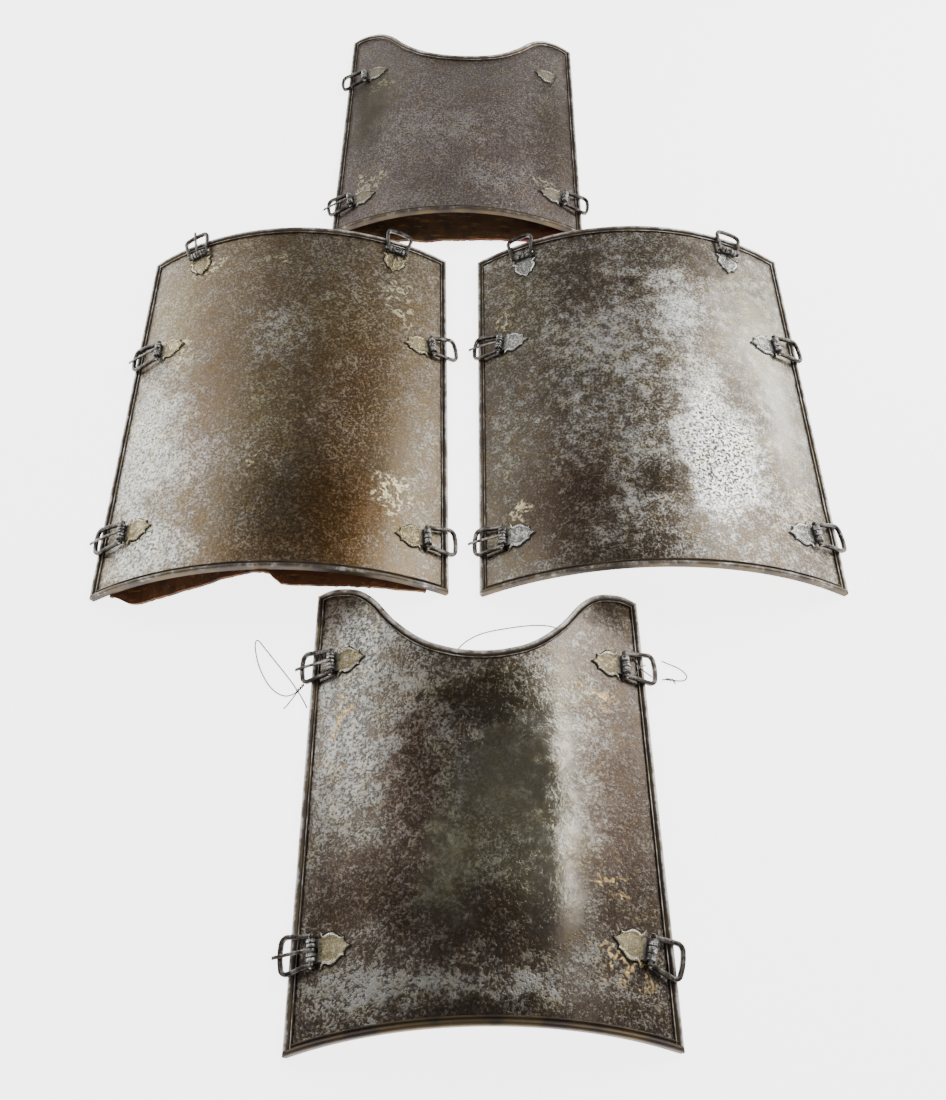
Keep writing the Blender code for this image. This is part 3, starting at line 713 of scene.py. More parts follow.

# %% [markdown]
# ## The rims
#
# A moulded iron strip is folded over each plate's edge: a round bead outside, a groove, and a thin raised
# line inside. The strip could be a curve with a bevel, but its section has to stand square to the curved face
# and meet in a mitre at the corners, so its rings are placed one by one. The bead is the part that
# hands and tables rub, and the mesh carries that wear for the finish. Along the lower edges that wear
# is kept low, which paints a dark reflection there.

# %% The rim's finish
RIM_BARE = (0.60, 0.575, 0.53)
RIM_FILM = (0.165, 0.140, 0.112)
RIM_DARK = (0.045, 0.035, 0.03)
RIM_BROWN = (0.085, 0.062, 0.036)


def rim_finish():
    finish = Finish("rim")
    # wear is real rubbing, and along the lower edges also a painted dark reflection, where it is kept low
    wear = finish.own("wear")
    fine = finish.noise(0.0018, 3.0, 0.6, 2.0)
    patches = finish.noise(0.0075, 3.0, 0.6, 5.0)
    bare = (wear * 0.50 + fine * 0.45 + (patches - 0.5) * 1.1).step(0.46, 0.88)
    tint = finish.noise(0.02, 2.0, 0.5, 9.0).step(0.4, 0.62)
    colour = finish.mix(tint, RIM_DARK, RIM_BROWN)
    colour = finish.mix((wear * 0.9 + patches * 0.5).step(0.45, 0.95), colour, RIM_FILM)
    colour = finish.mix(bare, colour, RIM_BARE)
    finish.surface(colour, (0.46 - bare * 0.06 + fine * 0.08).clamped(), 0.92 - bare * 0.42)
    finish.relief(fine * 0.5 + patches * 0.5, 0.00018)
    return finish.material


rim_iron = rim_finish()

# %% Fold the rims over the edges
# In from the edge and out of the face in mm, and wear
RIM_SECTION = (
    (4.60, -0.20, 0.0), (4.62, 0.70, 0.1), (4.48, 1.08, 0.55), (4.18, 1.20, 0.9), (3.86, 1.06, 0.5),
    (3.62, 0.74, 0.0), (3.36, 0.62, 0.0), (3.12, 0.78, 0.0), (2.88, 1.22, 0.15), (2.50, 1.72, 0.5),
    (1.98, 2.06, 0.85), (1.38, 2.18, 1.0), (0.78, 2.06, 1.0), (0.30, 1.66, 0.9), (0.04, 1.05, 0.6),
    (0.00, 0.30, 0.3))
RIM_LEG = 0.0021
RIM_TUCK = 0.0002
HAND_MADE_ABOVE = 0.5
# How much of that wear the lower edge has; kept low, it paints a dark reflection along the lower edge
LOWER_EDGE_RUB_AND_SHADE = {"left": 0.55, "right": 0.55, "lower": 0.05, "upper": 0.50}
RIM_STEP = 0.0030


def edge_points(face):
    """How many points a plate's lower edge has."""
    return round(2 * face.half_arc / RIM_STEP) + 1


def rim_outline(face):
    """The rim's outer edge, round from the lower left corner, as across and up, and if it's a long side."""
    shares = np.linspace(-1, 1, edge_points(face))
    low, high = face.lower_edge(shares), face.upper_edge(shares)
    steps = round((high[-1] - low[-1]) / RIM_STEP)
    up = np.linspace(0, 1, steps + 1)[1:-1]
    lower = [(x * face.half_arc, y, False) for x, y in zip(shares, low)]
    upper = [(x * face.half_arc, y, False) for x, y in zip(shares[::-1], high[::-1])]
    right = [(face.half_arc, low[-1] + (high[-1] - low[-1]) * t, True) for t in up]
    left = [(-face.half_arc, high[0] + (low[0] - high[0]) * t, True) for t in up]
    line = lower + right + upper + left
    return [(s, y, side or abs(s) > face.half_arc - SEAT_GAP) for s, y, side in line]


def mitred(line, distance):
    """The outline moved in by a distance."""
    here = np.array([(s, y) for s, y, _ in line])
    arriving = here - np.roll(here, 1, axis=0)
    leaving = np.roll(here, -1, axis=0) - here
    arriving /= np.linalg.norm(arriving, axis=1)[:, None]
    leaving /= np.linalg.norm(leaving, axis=1)[:, None]
    first = np.stack([-arriving[:, 1], arriving[:, 0]], axis=-1)
    second = np.stack([-leaving[:, 1], leaving[:, 0]], axis=-1)
    return here + (first + second) * distance / (1 + np.sum(first * second, axis=1))[:, None]


def add_rim(name, face, seed):
    """The strip over the edge. Its legs reach the table along the plate's long sides."""
    line = rim_outline(face)
    on_side = np.array([side for _, _, side in line])
    outer = mitred(line, 0.0)
    places = face.world(outer[:, 0], outer[:, 1])
    height = 1 + 0.07 * ripple(places, 0.011, seed) + 0.05 * ripple(places, 0.004, seed + 2)
    runs, wear = [], []
    for inward, out, rubbed in RIM_SECTION:
        at = mitred(line, inward / 1000)
        n = out / 1000 * height if out > HAND_MADE_ABOVE else out / 1000
        runs.append(face.world(at[:, 0], at[:, 1], n))
        wear.append(rubbed)
    for inward, foot in ((0.0, True), (RIM_WALL, True), (RIM_WALL, False)):
        at = mitred(line, inward)
        n = np.where(on_side, -face.table_depth(at[:, 0]), -RIM_LEG) if foot else -RIM_TUCK
        runs.append(face.world(at[:, 0], at[:, 1], n))
        wear.append(0.3 if foot else 0.0)
    rings = np.stack(runs, axis=1)
    points, faces = tube(rings, closed=True)
    below = np.arange(len(line)) < edge_points(face)
    # Painted dark reflection: the lower edge keeps only a share of its wear, so it shows darker
    rub = np.where(below, LOWER_EDGE_RUB_AND_SHADE[name], 1.0)[:, None] * np.array(wear)
    mesh = make_mesh(name, points, faces, {"wear": rub.reshape(-1)})
    return show(name + "_border", mesh, rim_iron, "rim", "plates", name + "_rim")


for seed, (name, face) in enumerate(faces_of.items()):
    rim = add_rim(name, face, seed)
    print(rim.name, "faces", len(rim.data.polygons))

# %% [markdown]
# ## The fittings' seats
#
# Each fitting is an arrow-head leaf fixed to the plate, whose neck is rolled round the pin of a buckle
# frame. The pins' places and directions are those of the solid model. A seat gives the way along the
# frame, along the pin and off the face, so one leaf, one frame and one tongue serve for all.

# %% Where the fittings sit
PIN_RADIUS = 0.0011
BORE_RADIUS = 0.0015
LEAF_THICKNESS = 0.0011
PIN_HEIGHT = SEAT_GAP + LEAF_THICKNESS + BORE_RADIUS
FITTING_WORDS = ("place", "across", "up", "facing", "reach", "tongue", "rest angle")
FITTINGS = {
    "left": (
        ("top_left", -0.0714, 0.2749, 101.0, 0.0190, "out", -2.757),
        ("top_right", 0.0733, 0.2770, 84.0, 0.0180, "back", -3.673),
        ("mid_left", -0.0930, 0.1902, 181.0, 0.0210, "out", 0.999),
        ("mid_right", 0.1015, 0.1953, 9.0, 0.0180, "", -2.154),
        ("low_left", -0.0945, 0.0402, 182.0, 0.0205, "out", 0.600),
        ("low_right", 0.0984, 0.0345, 3.0, 0.0190, "", -0.606)),
    "right": (
        ("top_left", -0.0800, 0.2738, 95.0, 0.0185, "", -3.022),
        ("top_right", 0.0706, 0.2736, 86.0, 0.0180, "back", -2.706),
        ("mid_left", -0.0995, 0.1962, 173.0, 0.0190, "out", 0.009),
        ("mid_right", 0.0975, 0.1925, 8.0, 0.0210, "", 0.523),
        ("low_left", -0.0999, 0.0349, 177.0, 0.0190, "out", -0.113),
        ("low_right", 0.0985, 0.0359, 8.0, 0.0210, "", 0.271)),
    "lower": (
        ("high_left", -0.0858, 0.2048, 182.0, 0.0185, "out", -1.427),
        ("high_right", 0.0859, 0.2012, 0.0, 0.0190, "", -1.431),
        ("low_left", -0.0856, 0.0465, 184.0, 0.0175, "out", -1.379),
        ("low_right", 0.0848, 0.0447, -16.0, 0.0175, "", -1.182)),
    "upper": (
        ("high_left", -0.0835, 0.1898, 186.0, 0.0200, "", -0.777),
        ("high_right", 0.0843, 0.1855, -12.0, 0.0, "broken", 0.0),
        ("low_left", -0.0847, 0.0293, 188.0, 0.0180, "out", -1.277),
        ("low_right", 0.0845, 0.0331, -6.0, 0.0190, "", -1.171)),
}


class Seat:
    """A fitting's place: a runs out to the frame, b along the pin, n off the face."""

    def __init__(self, plate, values):
        self.plate = plate
        self.face = faces_of[plate]
        self.facts = dict(zip(FITTING_WORDS, values))
        self.tongue = self.facts["tongue"]
        self.angle = math.radians(self.facts["facing"])

    def named(self, kind):
        return f"{self.plate}_{kind}_{self.facts['place']}"

    def world(self, a, b, n):
        c, s = math.cos(self.angle), math.sin(self.angle)
        across, up = self.facts["across"], self.facts["up"]
        return self.face.world(across + a * c - b * s, up + a * s + b * c, n)

    def matrix(self, turn=0.0):
        """The pin's own axes: X out to the frame, Y along the pin, Z off the face."""
        lean = self.facts["across"] / self.face.radius
        over = Vector((math.cos(lean), 0.0, -math.sin(lean)))
        out = over * math.cos(self.angle) + Vector((0.0, math.sin(self.angle), 0.0))
        normal = Vector((math.sin(lean), 0.0, math.cos(lean)))
        axes = Matrix((out, normal.cross(out), normal)).transposed().to_4x4()
        axes = self.face.place.to_3x3().to_4x4() @ axes
        pin = Vector(self.world(0.0, 0.0, PIN_HEIGHT))
        return Matrix.Translation(pin) @ axes @ Matrix.Rotation(turn, 4, "Y")


seats = [Seat(plate, values) for plate, rows in FITTINGS.items() for values in rows]
print("fittings:", len(seats))

# %% [markdown]
# ## The arrow-head leaves
#
# A leaf was filed from thin sheet: a long point, a pair of small cusps, a wide belly and two barbs by the
# neck. Ribs run from its middle to its edge, so the barbs can reach back past the rib's root. Its raised
# border lost its gold first, and the sunk middle kept it.

# %% The leaf's finish
LEAF_SILVER = (
    (0.0, (0.12, 0.105, 0.090)), (0.35, (0.30, 0.285, 0.26)), (0.75, (0.58, 0.565, 0.53)),
    (1.0, (0.80, 0.79, 0.76)))
LEAF_GOLD = ((0.34, 0.25, 0.10), (0.84, 0.74, 0.46))
LEAF_STEEL = ((0.075, 0.068, 0.060), (0.50, 0.48, 0.45))
LEAF_GRIME = (0.060, 0.046, 0.030)
# The colour of the painted shade round the blade and in the neck's creases and grooves
LEAF_PAINTED_SHADE = (0.014, 0.011, 0.009)
LEAF_RELIEF = 0.00075


def leaf_finish():
    finish = Finish("leaf")
    wear, bright, bed, gilt_share, dirt = map(finish.own, ("wear", "steel", "bed", "gilt", "dirt"))
    fine = finish.noise(0.0008, 3.0, 0.6, 3.0)
    medium = finish.noise(0.0021, 3.0, 0.62, 6.0)
    gilt = (gilt_share * 0.62 - wear * 0.22 + medium * 0.8 + fine * 0.2 - bright * 2.0).step(0.62, 0.92)
    grime = ((1.0 - wear) * 0.14 + fine * 0.50 + medium * 0.80 + dirt * 0.2).step(0.76, 0.90)
    polish = wear * 0.40 + fine * 0.9 + medium * 0.4 - gilt_share * 0.25 - 0.08
    colour = finish.ramp(polish, LEAF_SILVER)
    gold = finish.mix((fine * 0.6 + medium * 0.4).step(0.40, 0.58), *LEAF_GOLD)
    colour = finish.mix(gilt * 0.92, colour, gold)
    colour = finish.mix(grime * 0.72, colour, LEAF_GRIME)
    steel = finish.mix((medium * 0.6 + fine * 0.4).step(0.44, 0.58), *LEAF_STEEL)
    colour = finish.mix(bright, colour, steel)
    # Painted shade: darkens the sheet round the blade, the neck, the roll's creases and the grooves
    colour = finish.mix(bed, colour, LEAF_PAINTED_SHADE)
    finish.surface(
        colour, (0.26 + grime * 0.22 + bed * 0.3 - bright * 0.08).clamped(), (0.96 - bed * 0.7).clamped())
    finish.relief(fine * 0.5 + medium * 1.6 - grime * 0.4, LEAF_RELIEF)
    return finish.material


leaf_metal = leaf_finish()

# %% File the leaves and roll their necks
LEAF_LENGTH = 0.0205
LEAF_WIDTH = 0.0152
# Shares of the length at the rib's root and at its edge, and its edge's share of the half width
LEAF_RIBS = (
    (1.000, 1.005, 0.000), (0.965, 0.968, 0.060), (0.925, 0.922, 0.120), (0.885, 0.880, 0.190),
    (0.850, 0.838, 0.300), (0.830, 0.820, 0.440), (0.815, 0.826, 0.600), (0.795, 0.792, 0.575),
    (0.760, 0.748, 0.590), (0.710, 0.700, 0.660), (0.650, 0.640, 0.790), (0.590, 0.580, 0.920),
    (0.530, 0.525, 0.990), (0.470, 0.465, 1.010), (0.410, 0.400, 0.985), (0.360, 0.345, 0.925),
    (0.320, 0.300, 0.870), (0.290, 0.268, 0.900), (0.265, 0.238, 1.030), (0.250, 0.206, 1.200),
    (0.243, 0.234, 1.020), (0.240, 0.238, 0.860), (0.238, 0.237, 0.724))
# Share of the rib, height and wear; the lower wear at the very edge also darkens the outline as painted shade
LEAF_ACROSS = (
    (0.0, 0.90, 0.35), (0.22, 0.89, 0.3), (0.45, 0.86, 0.2), (0.62, 0.82, 0.1), (0.72, 0.80, 0.1),
    (0.79, 0.95, 0.6), (0.86, 1.08, 1.0), (0.93, 1.02, 1.0), (0.98, 0.78, 0.9), (1.0, 0.45, 0.7))
NECK_START = 0.0052
KNUCKLE_WIDTH = 0.0110
KNUCKLE_WALL = 0.0010
KNUCKLE_SWEEP = 292.0
SLOT_WIDTH = 0.0024
SLOT_START = 0.0030
STUB_LENGTH = 0.0022
NECK_BEND, NECK_FOOT = 0.0034, 0.0010
STUB_RISE = 0.0008
BAND_BEVEL = 0.00022
LEAF_WORDS = ("gilt", "dirt")
LEAF_LOOKS = {"left": (0.95, 0.35), "right": (0.10, 0.25), "lower": (0.75, 0.50), "upper": (0.60, 0.80)}
# The dark sheet under each blade that paints the shadow round its outline: its height and how much wider it
# is
SHADOW_SHEET_HEIGHT = 0.00018
SHADOW_SHEET_GROWTH = (1.07, 1.13)


def leaf_blade(seat, seed):
    """The arrow head as a closed shell of ribs, and a wider dark sheet under it that paints the shadow round
    its outline.

    Each comes with its wear, steel and painted shade, which are numbers or one number for each point.
    """
    ribs = np.array(LEAF_RIBS)
    across = np.array(LEAF_ACROSS)
    side = np.concatenate([-across[:0:-1, 0], across[:, 0]])
    height = np.concatenate([across[:0:-1, 1], across[:, 1]])
    wear = np.concatenate([across[:0:-1, 2], across[:, 2]])
    share = np.abs(side)
    along = ribs[:, :1] * (1 - share) + ribs[:, 1:2] * share
    a = -LEAF_LENGTH * along
    b = LEAF_WIDTH / 2 * ribs[:, 2:3] * side
    bumps = ripple(seat.world(a, b, 0.0), 0.0032, seed).reshape(a.shape)
    top = SEAT_GAP + LEAF_THICKNESS * (height * (1 + 0.05 * bumps))
    rubbed = np.broadcast_to(wear, a.shape).reshape(-1)
    blade = shell(seat.world(a, b, top), seat.world(a, b, -0.0001))
    middle = -0.6 * LEAF_LENGTH
    wide_a, wide_b = middle + (a - middle) * SHADOW_SHEET_GROWTH[0], b * SHADOW_SHEET_GROWTH[1]
    bed = shell(seat.world(wide_a, wide_b, SHADOW_SHEET_HEIGHT), seat.world(wide_a, wide_b, -0.0002))
    return [(blade, np.concatenate([rubbed, rubbed * 0]), 0.0, 0.0), (bed, 0.0, 0.0, 1.0)]


def rolled_band(seat, b0, b1, start, broken):
    """A strip of the neck to the pin and round it, with its wear, how steely its points are and their painted
    shade.
    """
    bevel = BAND_BEVEL
    outer, inner = BORE_RADIUS + KNUCKLE_WALL, BORE_RADIUS + 0.00005
    top_n = SEAT_GAP + LEAF_THICKNESS
    # The last number of each step is painted shade along the neck, at its foot and in the roll's creases
    path = [
        (-start, top_n, -start, SEAT_GAP, 0.0, 0.35), (-NECK_BEND, top_n, -NECK_BEND, SEAT_GAP, 0.0, 0.60)]
    if broken:
        path += [(-STUB_LENGTH, top_n + STUB_RISE, -STUB_LENGTH, SEAT_GAP + STUB_RISE, 0.0, 0.9)]
    else:
        path += [(-NECK_FOOT, top_n, -NECK_FOOT, SEAT_GAP + 0.0001, 1.0, 0.9)]
        for degrees in np.linspace(-90, KNUCKLE_SWEEP - 90, 22):
            c, s = math.cos(math.radians(degrees)), math.sin(math.radians(degrees))
            dirt = 0.85 if degrees > 165 else 0.5 if degrees < 20 else 0.0
            path.append((inner * c, PIN_HEIGHT + inner * s, outer * c, PIN_HEIGHT + outer * s, 1.0, dirt))
    middle, width = (b0 + b1) / 2, b1 - b0
    grooves = [middle] if width < 0.006 else [b0 + width / 3, b1 - width / 3]
    # The last number is painted shade at the band's edges and in its grooves
    edge = [(b0, 0.55, 0.9), (b0 + bevel, 1.0, 0.6), (b0 + 0.0008, 1.0, 0.1)]
    for groove in grooves:
        edge += [(groove + offset, full, edge_shade) for offset, full, edge_shade in (
            (-0.0005, 1.0, 0.0), (-0.00018, 0.35, 1.0), (0.00018, 0.35, 1.0), (0.0005, 1.0, 0.0))]
    edge += [(b1 - 0.0008, 1.0, 0.1), (b1 - bevel, 1.0, 0.6), (b1, 0.55, 0.9)]
    inner_edge = ((b1, 0.55, 0), (b1 - bevel, 1.0, 0), (b0 + bevel, 1.0, 0), (b0, 0.55, 0))
    rings, steels, painted_shades = [], [], []
    for inner_a, inner_n, outer_a, outer_n, steel, dirt in path:
        mid_a, mid_n = (inner_a + outer_a) / 2, (inner_n + outer_n) / 2
        ring = []
        for end_a, end_n, row in ((outer_a, outer_n, edge), (inner_a, inner_n, inner_edge)):
            ring += [
                (mid_a + (end_a - mid_a) * full, b, mid_n + (end_n - mid_n) * full) for b, full, _ in row]
        rings.append(ring)
        steels += [steel] * len(ring)
        painted_shades += [max(dirt, edge_shade) for _, _, edge_shade in edge] + [dirt] * len(inner_edge)
    a, b, n = np.moveaxis(np.array(rings), -1, 0)
    return tube(seat.world(a, b, n)), 0.5, steels, painted_shades


def add_leaf(seat, seed):
    """A whole fitting: the blade on its painted shadow sheet, the rolled neck, and behind its slot a bridge
    to the blade.
    """
    half, slot = KNUCKLE_WIDTH / 2, SLOT_WIDTH / 2
    slotted = seat.tongue in ("out", "back")
    parts = leaf_blade(seat, seed)
    for b0, b1 in [(-half, -slot), (slot, half)] if slotted else [(-half, half)]:
        parts.append(rolled_band(seat, b0, b1, NECK_START, seat.tongue == "broken"))
    if slotted:
        a = np.linspace(-NECK_START, -SLOT_START, 4)[:, None]
        b = np.array([-slot - SEAT_GAP, slot + SEAT_GAP])[None, :]
        top = SEAT_GAP + LEAF_THICKNESS - 0.0001
        # The bridge gets half the painted shade
        parts.append((shell(seat.world(a, b, top), seat.world(a, b, SEAT_GAP)), 0.4, 0.0, 0.5))
    points, faces = joined([part[0] for part in parts])
    numbers = {
        title: np.concatenate([np.broadcast_to(part[k], len(part[0][0])) for part in parts])
        for k, title in enumerate(("wear", "steel", "bed"), 1)}
    for title, value in zip(LEAF_WORDS, LEAF_LOOKS[seat.plate]):
        numbers[title] = np.full(len(points), value)
    mesh = make_mesh("leaf", points, faces, numbers)
    return show(seat.named("arrow"), mesh, leaf_metal, "leaf", "plates", seat.named("leaf"))


for seed, seat in enumerate(seats):
    leaf = add_leaf(seat, seed)
print("leaves:", len(seats), "faces each about", len(leaf.data.polygons))

# %% [markdown]
# ## Bars along a path
#
# The frames and the tongues are forged bars that follow a path. That is what Geometry Nodes do well: one
# tree turns a line of points into a bar with a rounded rectangular section, hammers it a little, and is used
# again for every frame and tongue with other numbers. The result is made a plain mesh, because each
# bar moves with its own body.

# %% A tree that forges a bar


class Tree(Nodes):
    """A Geometry Nodes tree with named inputs, whose start values are given here."""

    def __init__(self, name, numbers):
        self.tree = bpy.data.node_groups.new(name, "GeometryNodeTree")
        face = self.tree.interface
        face.new_socket("Geometry", in_out="INPUT", socket_type="NodeSocketGeometry")
        for title, value in numbers.items():
            kind = "NodeSocketMaterial" if value is None else "NodeSocketFloat"
            socket = face.new_socket(title, in_out="INPUT", socket_type=kind)
            if value is not None:
                socket.default_value = value
        face.new_socket("Geometry", in_out="OUTPUT", socket_type="NodeSocketGeometry")
        self.start = self.add("NodeGroupInput").outputs
        self.end = self.add("NodeGroupOutput").inputs

    def part(self, kind, values=None, settings=None, out=0):
        """A node's result."""
        return self.add(kind, settings, values).outputs[out]

    def finish(self, geometry):
        whole = self.part("GeometryNodeRealizeInstances", {"Geometry": geometry})
        painted = self.part(
            "GeometryNodeSetMaterial", {"Geometry": whole, "Material": self.start["Material"]})
        self.feed(self.end[0], painted)


def grow(tree, source, values):
    """Runs a tree on a mesh of points and lines, and gives back a plain mesh."""
    holder = bpy.data.objects.new("holder", source)
    bpy.context.collection.objects.link(holder)
    modifier = holder.modifiers.new("tree", "NODES")
    modifier.node_group = tree.tree
    for item in tree.tree.interface.items_tree:
        if item.in_out == "INPUT" and item.name in values:
            modifier[item.identifier] = values[item.name]
    evaluated = holder.evaluated_get(bpy.context.evaluated_depsgraph_get())
    mesh = bpy.data.meshes.new_from_object(evaluated)
    bpy.data.objects.remove(holder, do_unlink=True)
    return mesh


bar = Tree("forged bar", {
    "Width": 0.0024, "Height": 0.0024, "Rounding": 0.0006, "Hammering": 0.0001, "Grain": 260.0,
    "Material": None})
start = bar.start
line = bar.part("GeometryNodeMeshToCurve", {"Mesh": start["Geometry"]})
line = bar.part("GeometryNodeSetCurveNormal", {"Curve": line}, {"mode": "Z_UP"})
thick = bar.part("GeometryNodeInputNamedAttribute", {"Name": "thick"}, {"data_type": "FLOAT"})
line = bar.part("GeometryNodeSetCurveRadius", {"Curve": line, "Radius": thick})
section = bar.part(
    "GeometryNodeCurvePrimitiveQuadrilateral", {"Width": start["Width"], "Height": start["Height"]})
section = bar.part(
    "GeometryNodeFilletCurve",
    {"Curve": section, "Count": 3, "Radius": start["Rounding"], "Limit Radius": True}, {"mode": "POLY"})
solid = bar.part("GeometryNodeCurveToMesh", {"Curve": line, "Profile Curve": section, "Fill Caps": True})
grain = bar.part("ShaderNodeTexNoise", {"Scale": start["Grain"]}, {"noise_dimensions": "3D"}, out=1)
centred = bar.part("ShaderNodeVectorMath", {0: grain, 1: (0.5, 0.5, 0.5)}, {"operation": "SUBTRACT"})
offset = bar.part("ShaderNodeVectorMath", {0: centred, "Scale": start["Hammering"]}, {"operation": "SCALE"})
solid = bar.part("GeometryNodeSetPosition", {"Geometry": solid, "Offset": offset})
bar.finish(bar.part("GeometryNodeSetShadeSmooth", {"Geometry": solid}))
print("bar tree nodes:", len(bar.tree.nodes))

# %% [markdown]
# ## The buckle frames and tongues
#
# A frame is a stirrup: two arms that spread a little from the pin and an outer bar with rounded corners.
# Its pin goes through the rolled neck, and its bright ends show in the arms' eyes. Some fittings carry a
# tongue, a tapering prick hooked round the same pin, that lies over the outer bar. Both are dark and
# rubbed in places.

# %% The dark iron's finish
DARK_SHARE = (0.45, 0.42, 0.40)
RUBBED_IRON = (0.40, 0.38, 0.35)


def dark_finish(name, base, rub):
    finish = Finish(name)
    fine = finish.noise(0.0010, 3.0, 0.6, 4.0)
    medium = finish.noise(0.0050, 3.0, 0.6, 8.0)
    bright = finish.own("steel")
    rubbed = ((fine * 0.5 + medium * 0.6).step(0.50, 0.66) * rub + bright).clamped()
    shadow = tuple(a * b for a, b in zip(base, DARK_SHARE))
    colour = finish.mix(rubbed, finish.mix(medium.step(0.36, 0.60), shadow, base), RUBBED_IRON)
    finish.surface(colour, (0.30 - rubbed * 0.06 + fine * 0.1).clamped(), 0.94)
    finish.relief(fine * 0.4 + medium * 0.6, 0.00016)
    return finish.material


dark_iron = dark_finish("dark_iron", (0.062, 0.052, 0.045), 0.32)
tongue_iron = dark_finish("tongue_iron", (0.095, 0.080, 0.070), 0.5)
wire_iron = dark_finish("wire_iron", (0.07, 0.062, 0.055), 0.15)
for wire in wires.values():
    wire.data.materials.append(wire_iron)

# %% Forge the frames
BAR_RADIUS = 0.0012
BAR_HALF_HEIGHT = BAR_RADIUS * math.cos(math.pi / 6)
ARM_OFFSET = KNUCKLE_WIDTH / 2 + SEAT_GAP + BAR_RADIUS
FRAME_WIDTH = 0.0178
FRAME_CORNER = 0.0036
FRAME_BOW = 0.0005
FRAME_ARM_SHARE = 0.35
FRAME_HAMMERING = 0.00022
EYE_RADIUS = 0.00155
EYE_WIDTH = 0.0023


def path_mesh(points, thickness):
    mesh = bpy.data.meshes.new("path")
    mesh.from_pydata([tuple(p) for p in points], [(k, k + 1) for k in range(len(points) - 1)], [])
    mesh.attributes.new("thick", "FLOAT", "POINT").data.foreach_set("value", thickness)
    return mesh


def frame_line(reach):
    """The frame's middle line from one eye, out along its arm, round the outer bar and back."""
    half, corner = FRAME_WIDTH / 2, FRAME_CORNER
    arm_side = ARM_OFFSET + (half - ARM_OFFSET) * FRAME_ARM_SHARE
    side = [(-0.0004, ARM_OFFSET), (reach * 0.15, ARM_OFFSET + 0.0002), (reach * FRAME_ARM_SHARE, arm_side)]
    side += [(reach * 0.6, half - (half - arm_side) * 0.35), (reach - corner, half)]
    for angle in np.radians(np.linspace(15, 90, 6)):
        side.append((reach - corner + corner * math.sin(angle), half - corner + corner * math.cos(angle)))
    side.append((reach + FRAME_BOW * 0.75, half * 0.3))
    return side + [(reach + FRAME_BOW, 0.0)] + [(a, -b) for a, b in side[::-1]]


def turned(rows, radius, sides):
    """A round piece about the pin's line, from its places along it and its shares of the radius."""
    angles = np.linspace(0, 2 * math.pi, sides, endpoint=False)
    return tube(np.array([
        [(radius * share * math.cos(t), y, radius * share * math.sin(t)) for t in angles]
        for y, share in rows]))


def pin_with_ends():
    """The pin with its domed ends, from arm to arm."""
    half = ARM_OFFSET + BAR_RADIUS
    rows = [(-half - 0.00045, 0.25), (-half - 0.0003, 0.6), (-half, 0.85), (-half + 0.0002, 1.0)]
    return turned(rows + [(-y, share) for y, share in rows[::-1]], PIN_RADIUS, 14)


def eye_ring(y):
    """The thickened eye at an arm's root, round the pin."""
    side, bevel = EYE_WIDTH / 2, 0.0003
    rows = ((-side, 0.86), (-side + bevel, 1.0), (side - bevel, 1.0), (side, 0.86))
    return turned([(y + dy, share) for dy, share in rows], EYE_RADIUS, 16)


def mesh_parts(mesh):
    return [v.co[:] for v in mesh.vertices], [tuple(p.vertices) for p in mesh.polygons]


def add_frame(seat):
    """A frame at its resting angle: the forged bar and its eyes dark, the pin bright."""
    line = [(a, b, 0.0) for a, b in frame_line(seat.facts["reach"])]
    forged = grow(bar, path_mesh(line, [1.0] * len(line)), {"Hammering": FRAME_HAMMERING})
    parts = [mesh_parts(forged), eye_ring(-ARM_OFFSET), eye_ring(ARM_OFFSET), pin_with_ends()]
    steel = np.concatenate([np.full(len(part[0]), float(part is parts[-1])) for part in parts])
    points, faces = joined(parts)
    mesh = make_mesh("frame", points, faces, {"steel": steel}, sharp=55.0)
    mesh.transform(seat.matrix(math.radians(seat.facts["rest angle"])))
    node = seat.named("frame")
    return show(seat.named("buckle"), mesh, dark_iron, "frame", node, node)


frames = [add_frame(seat) for seat in seats if seat.tongue != "broken"]
print("frames:", len(frames), "faces each about", len(frames[0].data.polygons))

# %% Draw out the tongues
TONGUE_WIDTH = 0.0018
TONGUE_THICKNESS = 0.0009
TONGUE_OVERHANG = 0.0026
TONGUE_BOW = 0.0004
TONGUE_ROUNDING = 0.00028
TONGUE_HAMMERING = 0.0001
BACK_ELEVATION = math.radians(26.167)


def tongue_line(reach):
    """The tongue's middle line in its own plane, with its share of full width."""
    radius = BORE_RADIUS + TONGUE_THICKNESS / 2
    rows = [(radius * math.cos(t), radius * math.sin(t), 1.0) for t in np.radians(np.linspace(-50, -262, 14))]
    over_bar = BAR_HALF_HEIGHT + SEAT_GAP + 0.00035
    rows += [(0.0012, radius + 0.00005, 1.0)]
    mid = (radius + over_bar) / 2 + TONGUE_BOW
    rows += [(reach * 0.30, radius * 0.6 + mid * 0.4 + 0.0001, 1.0), (reach * 0.5, mid, 0.92)]
    rows += [(reach * 0.8, over_bar + 0.0003, 0.82), (reach + FRAME_BOW, over_bar, 0.72)]
    tip = reach + FRAME_BOW + BAR_RADIUS + TONGUE_OVERHANG
    rows += [(tip - 0.0012, over_bar - 0.0002, 0.55), (tip, over_bar - 0.0004, 0.34)]
    return rows


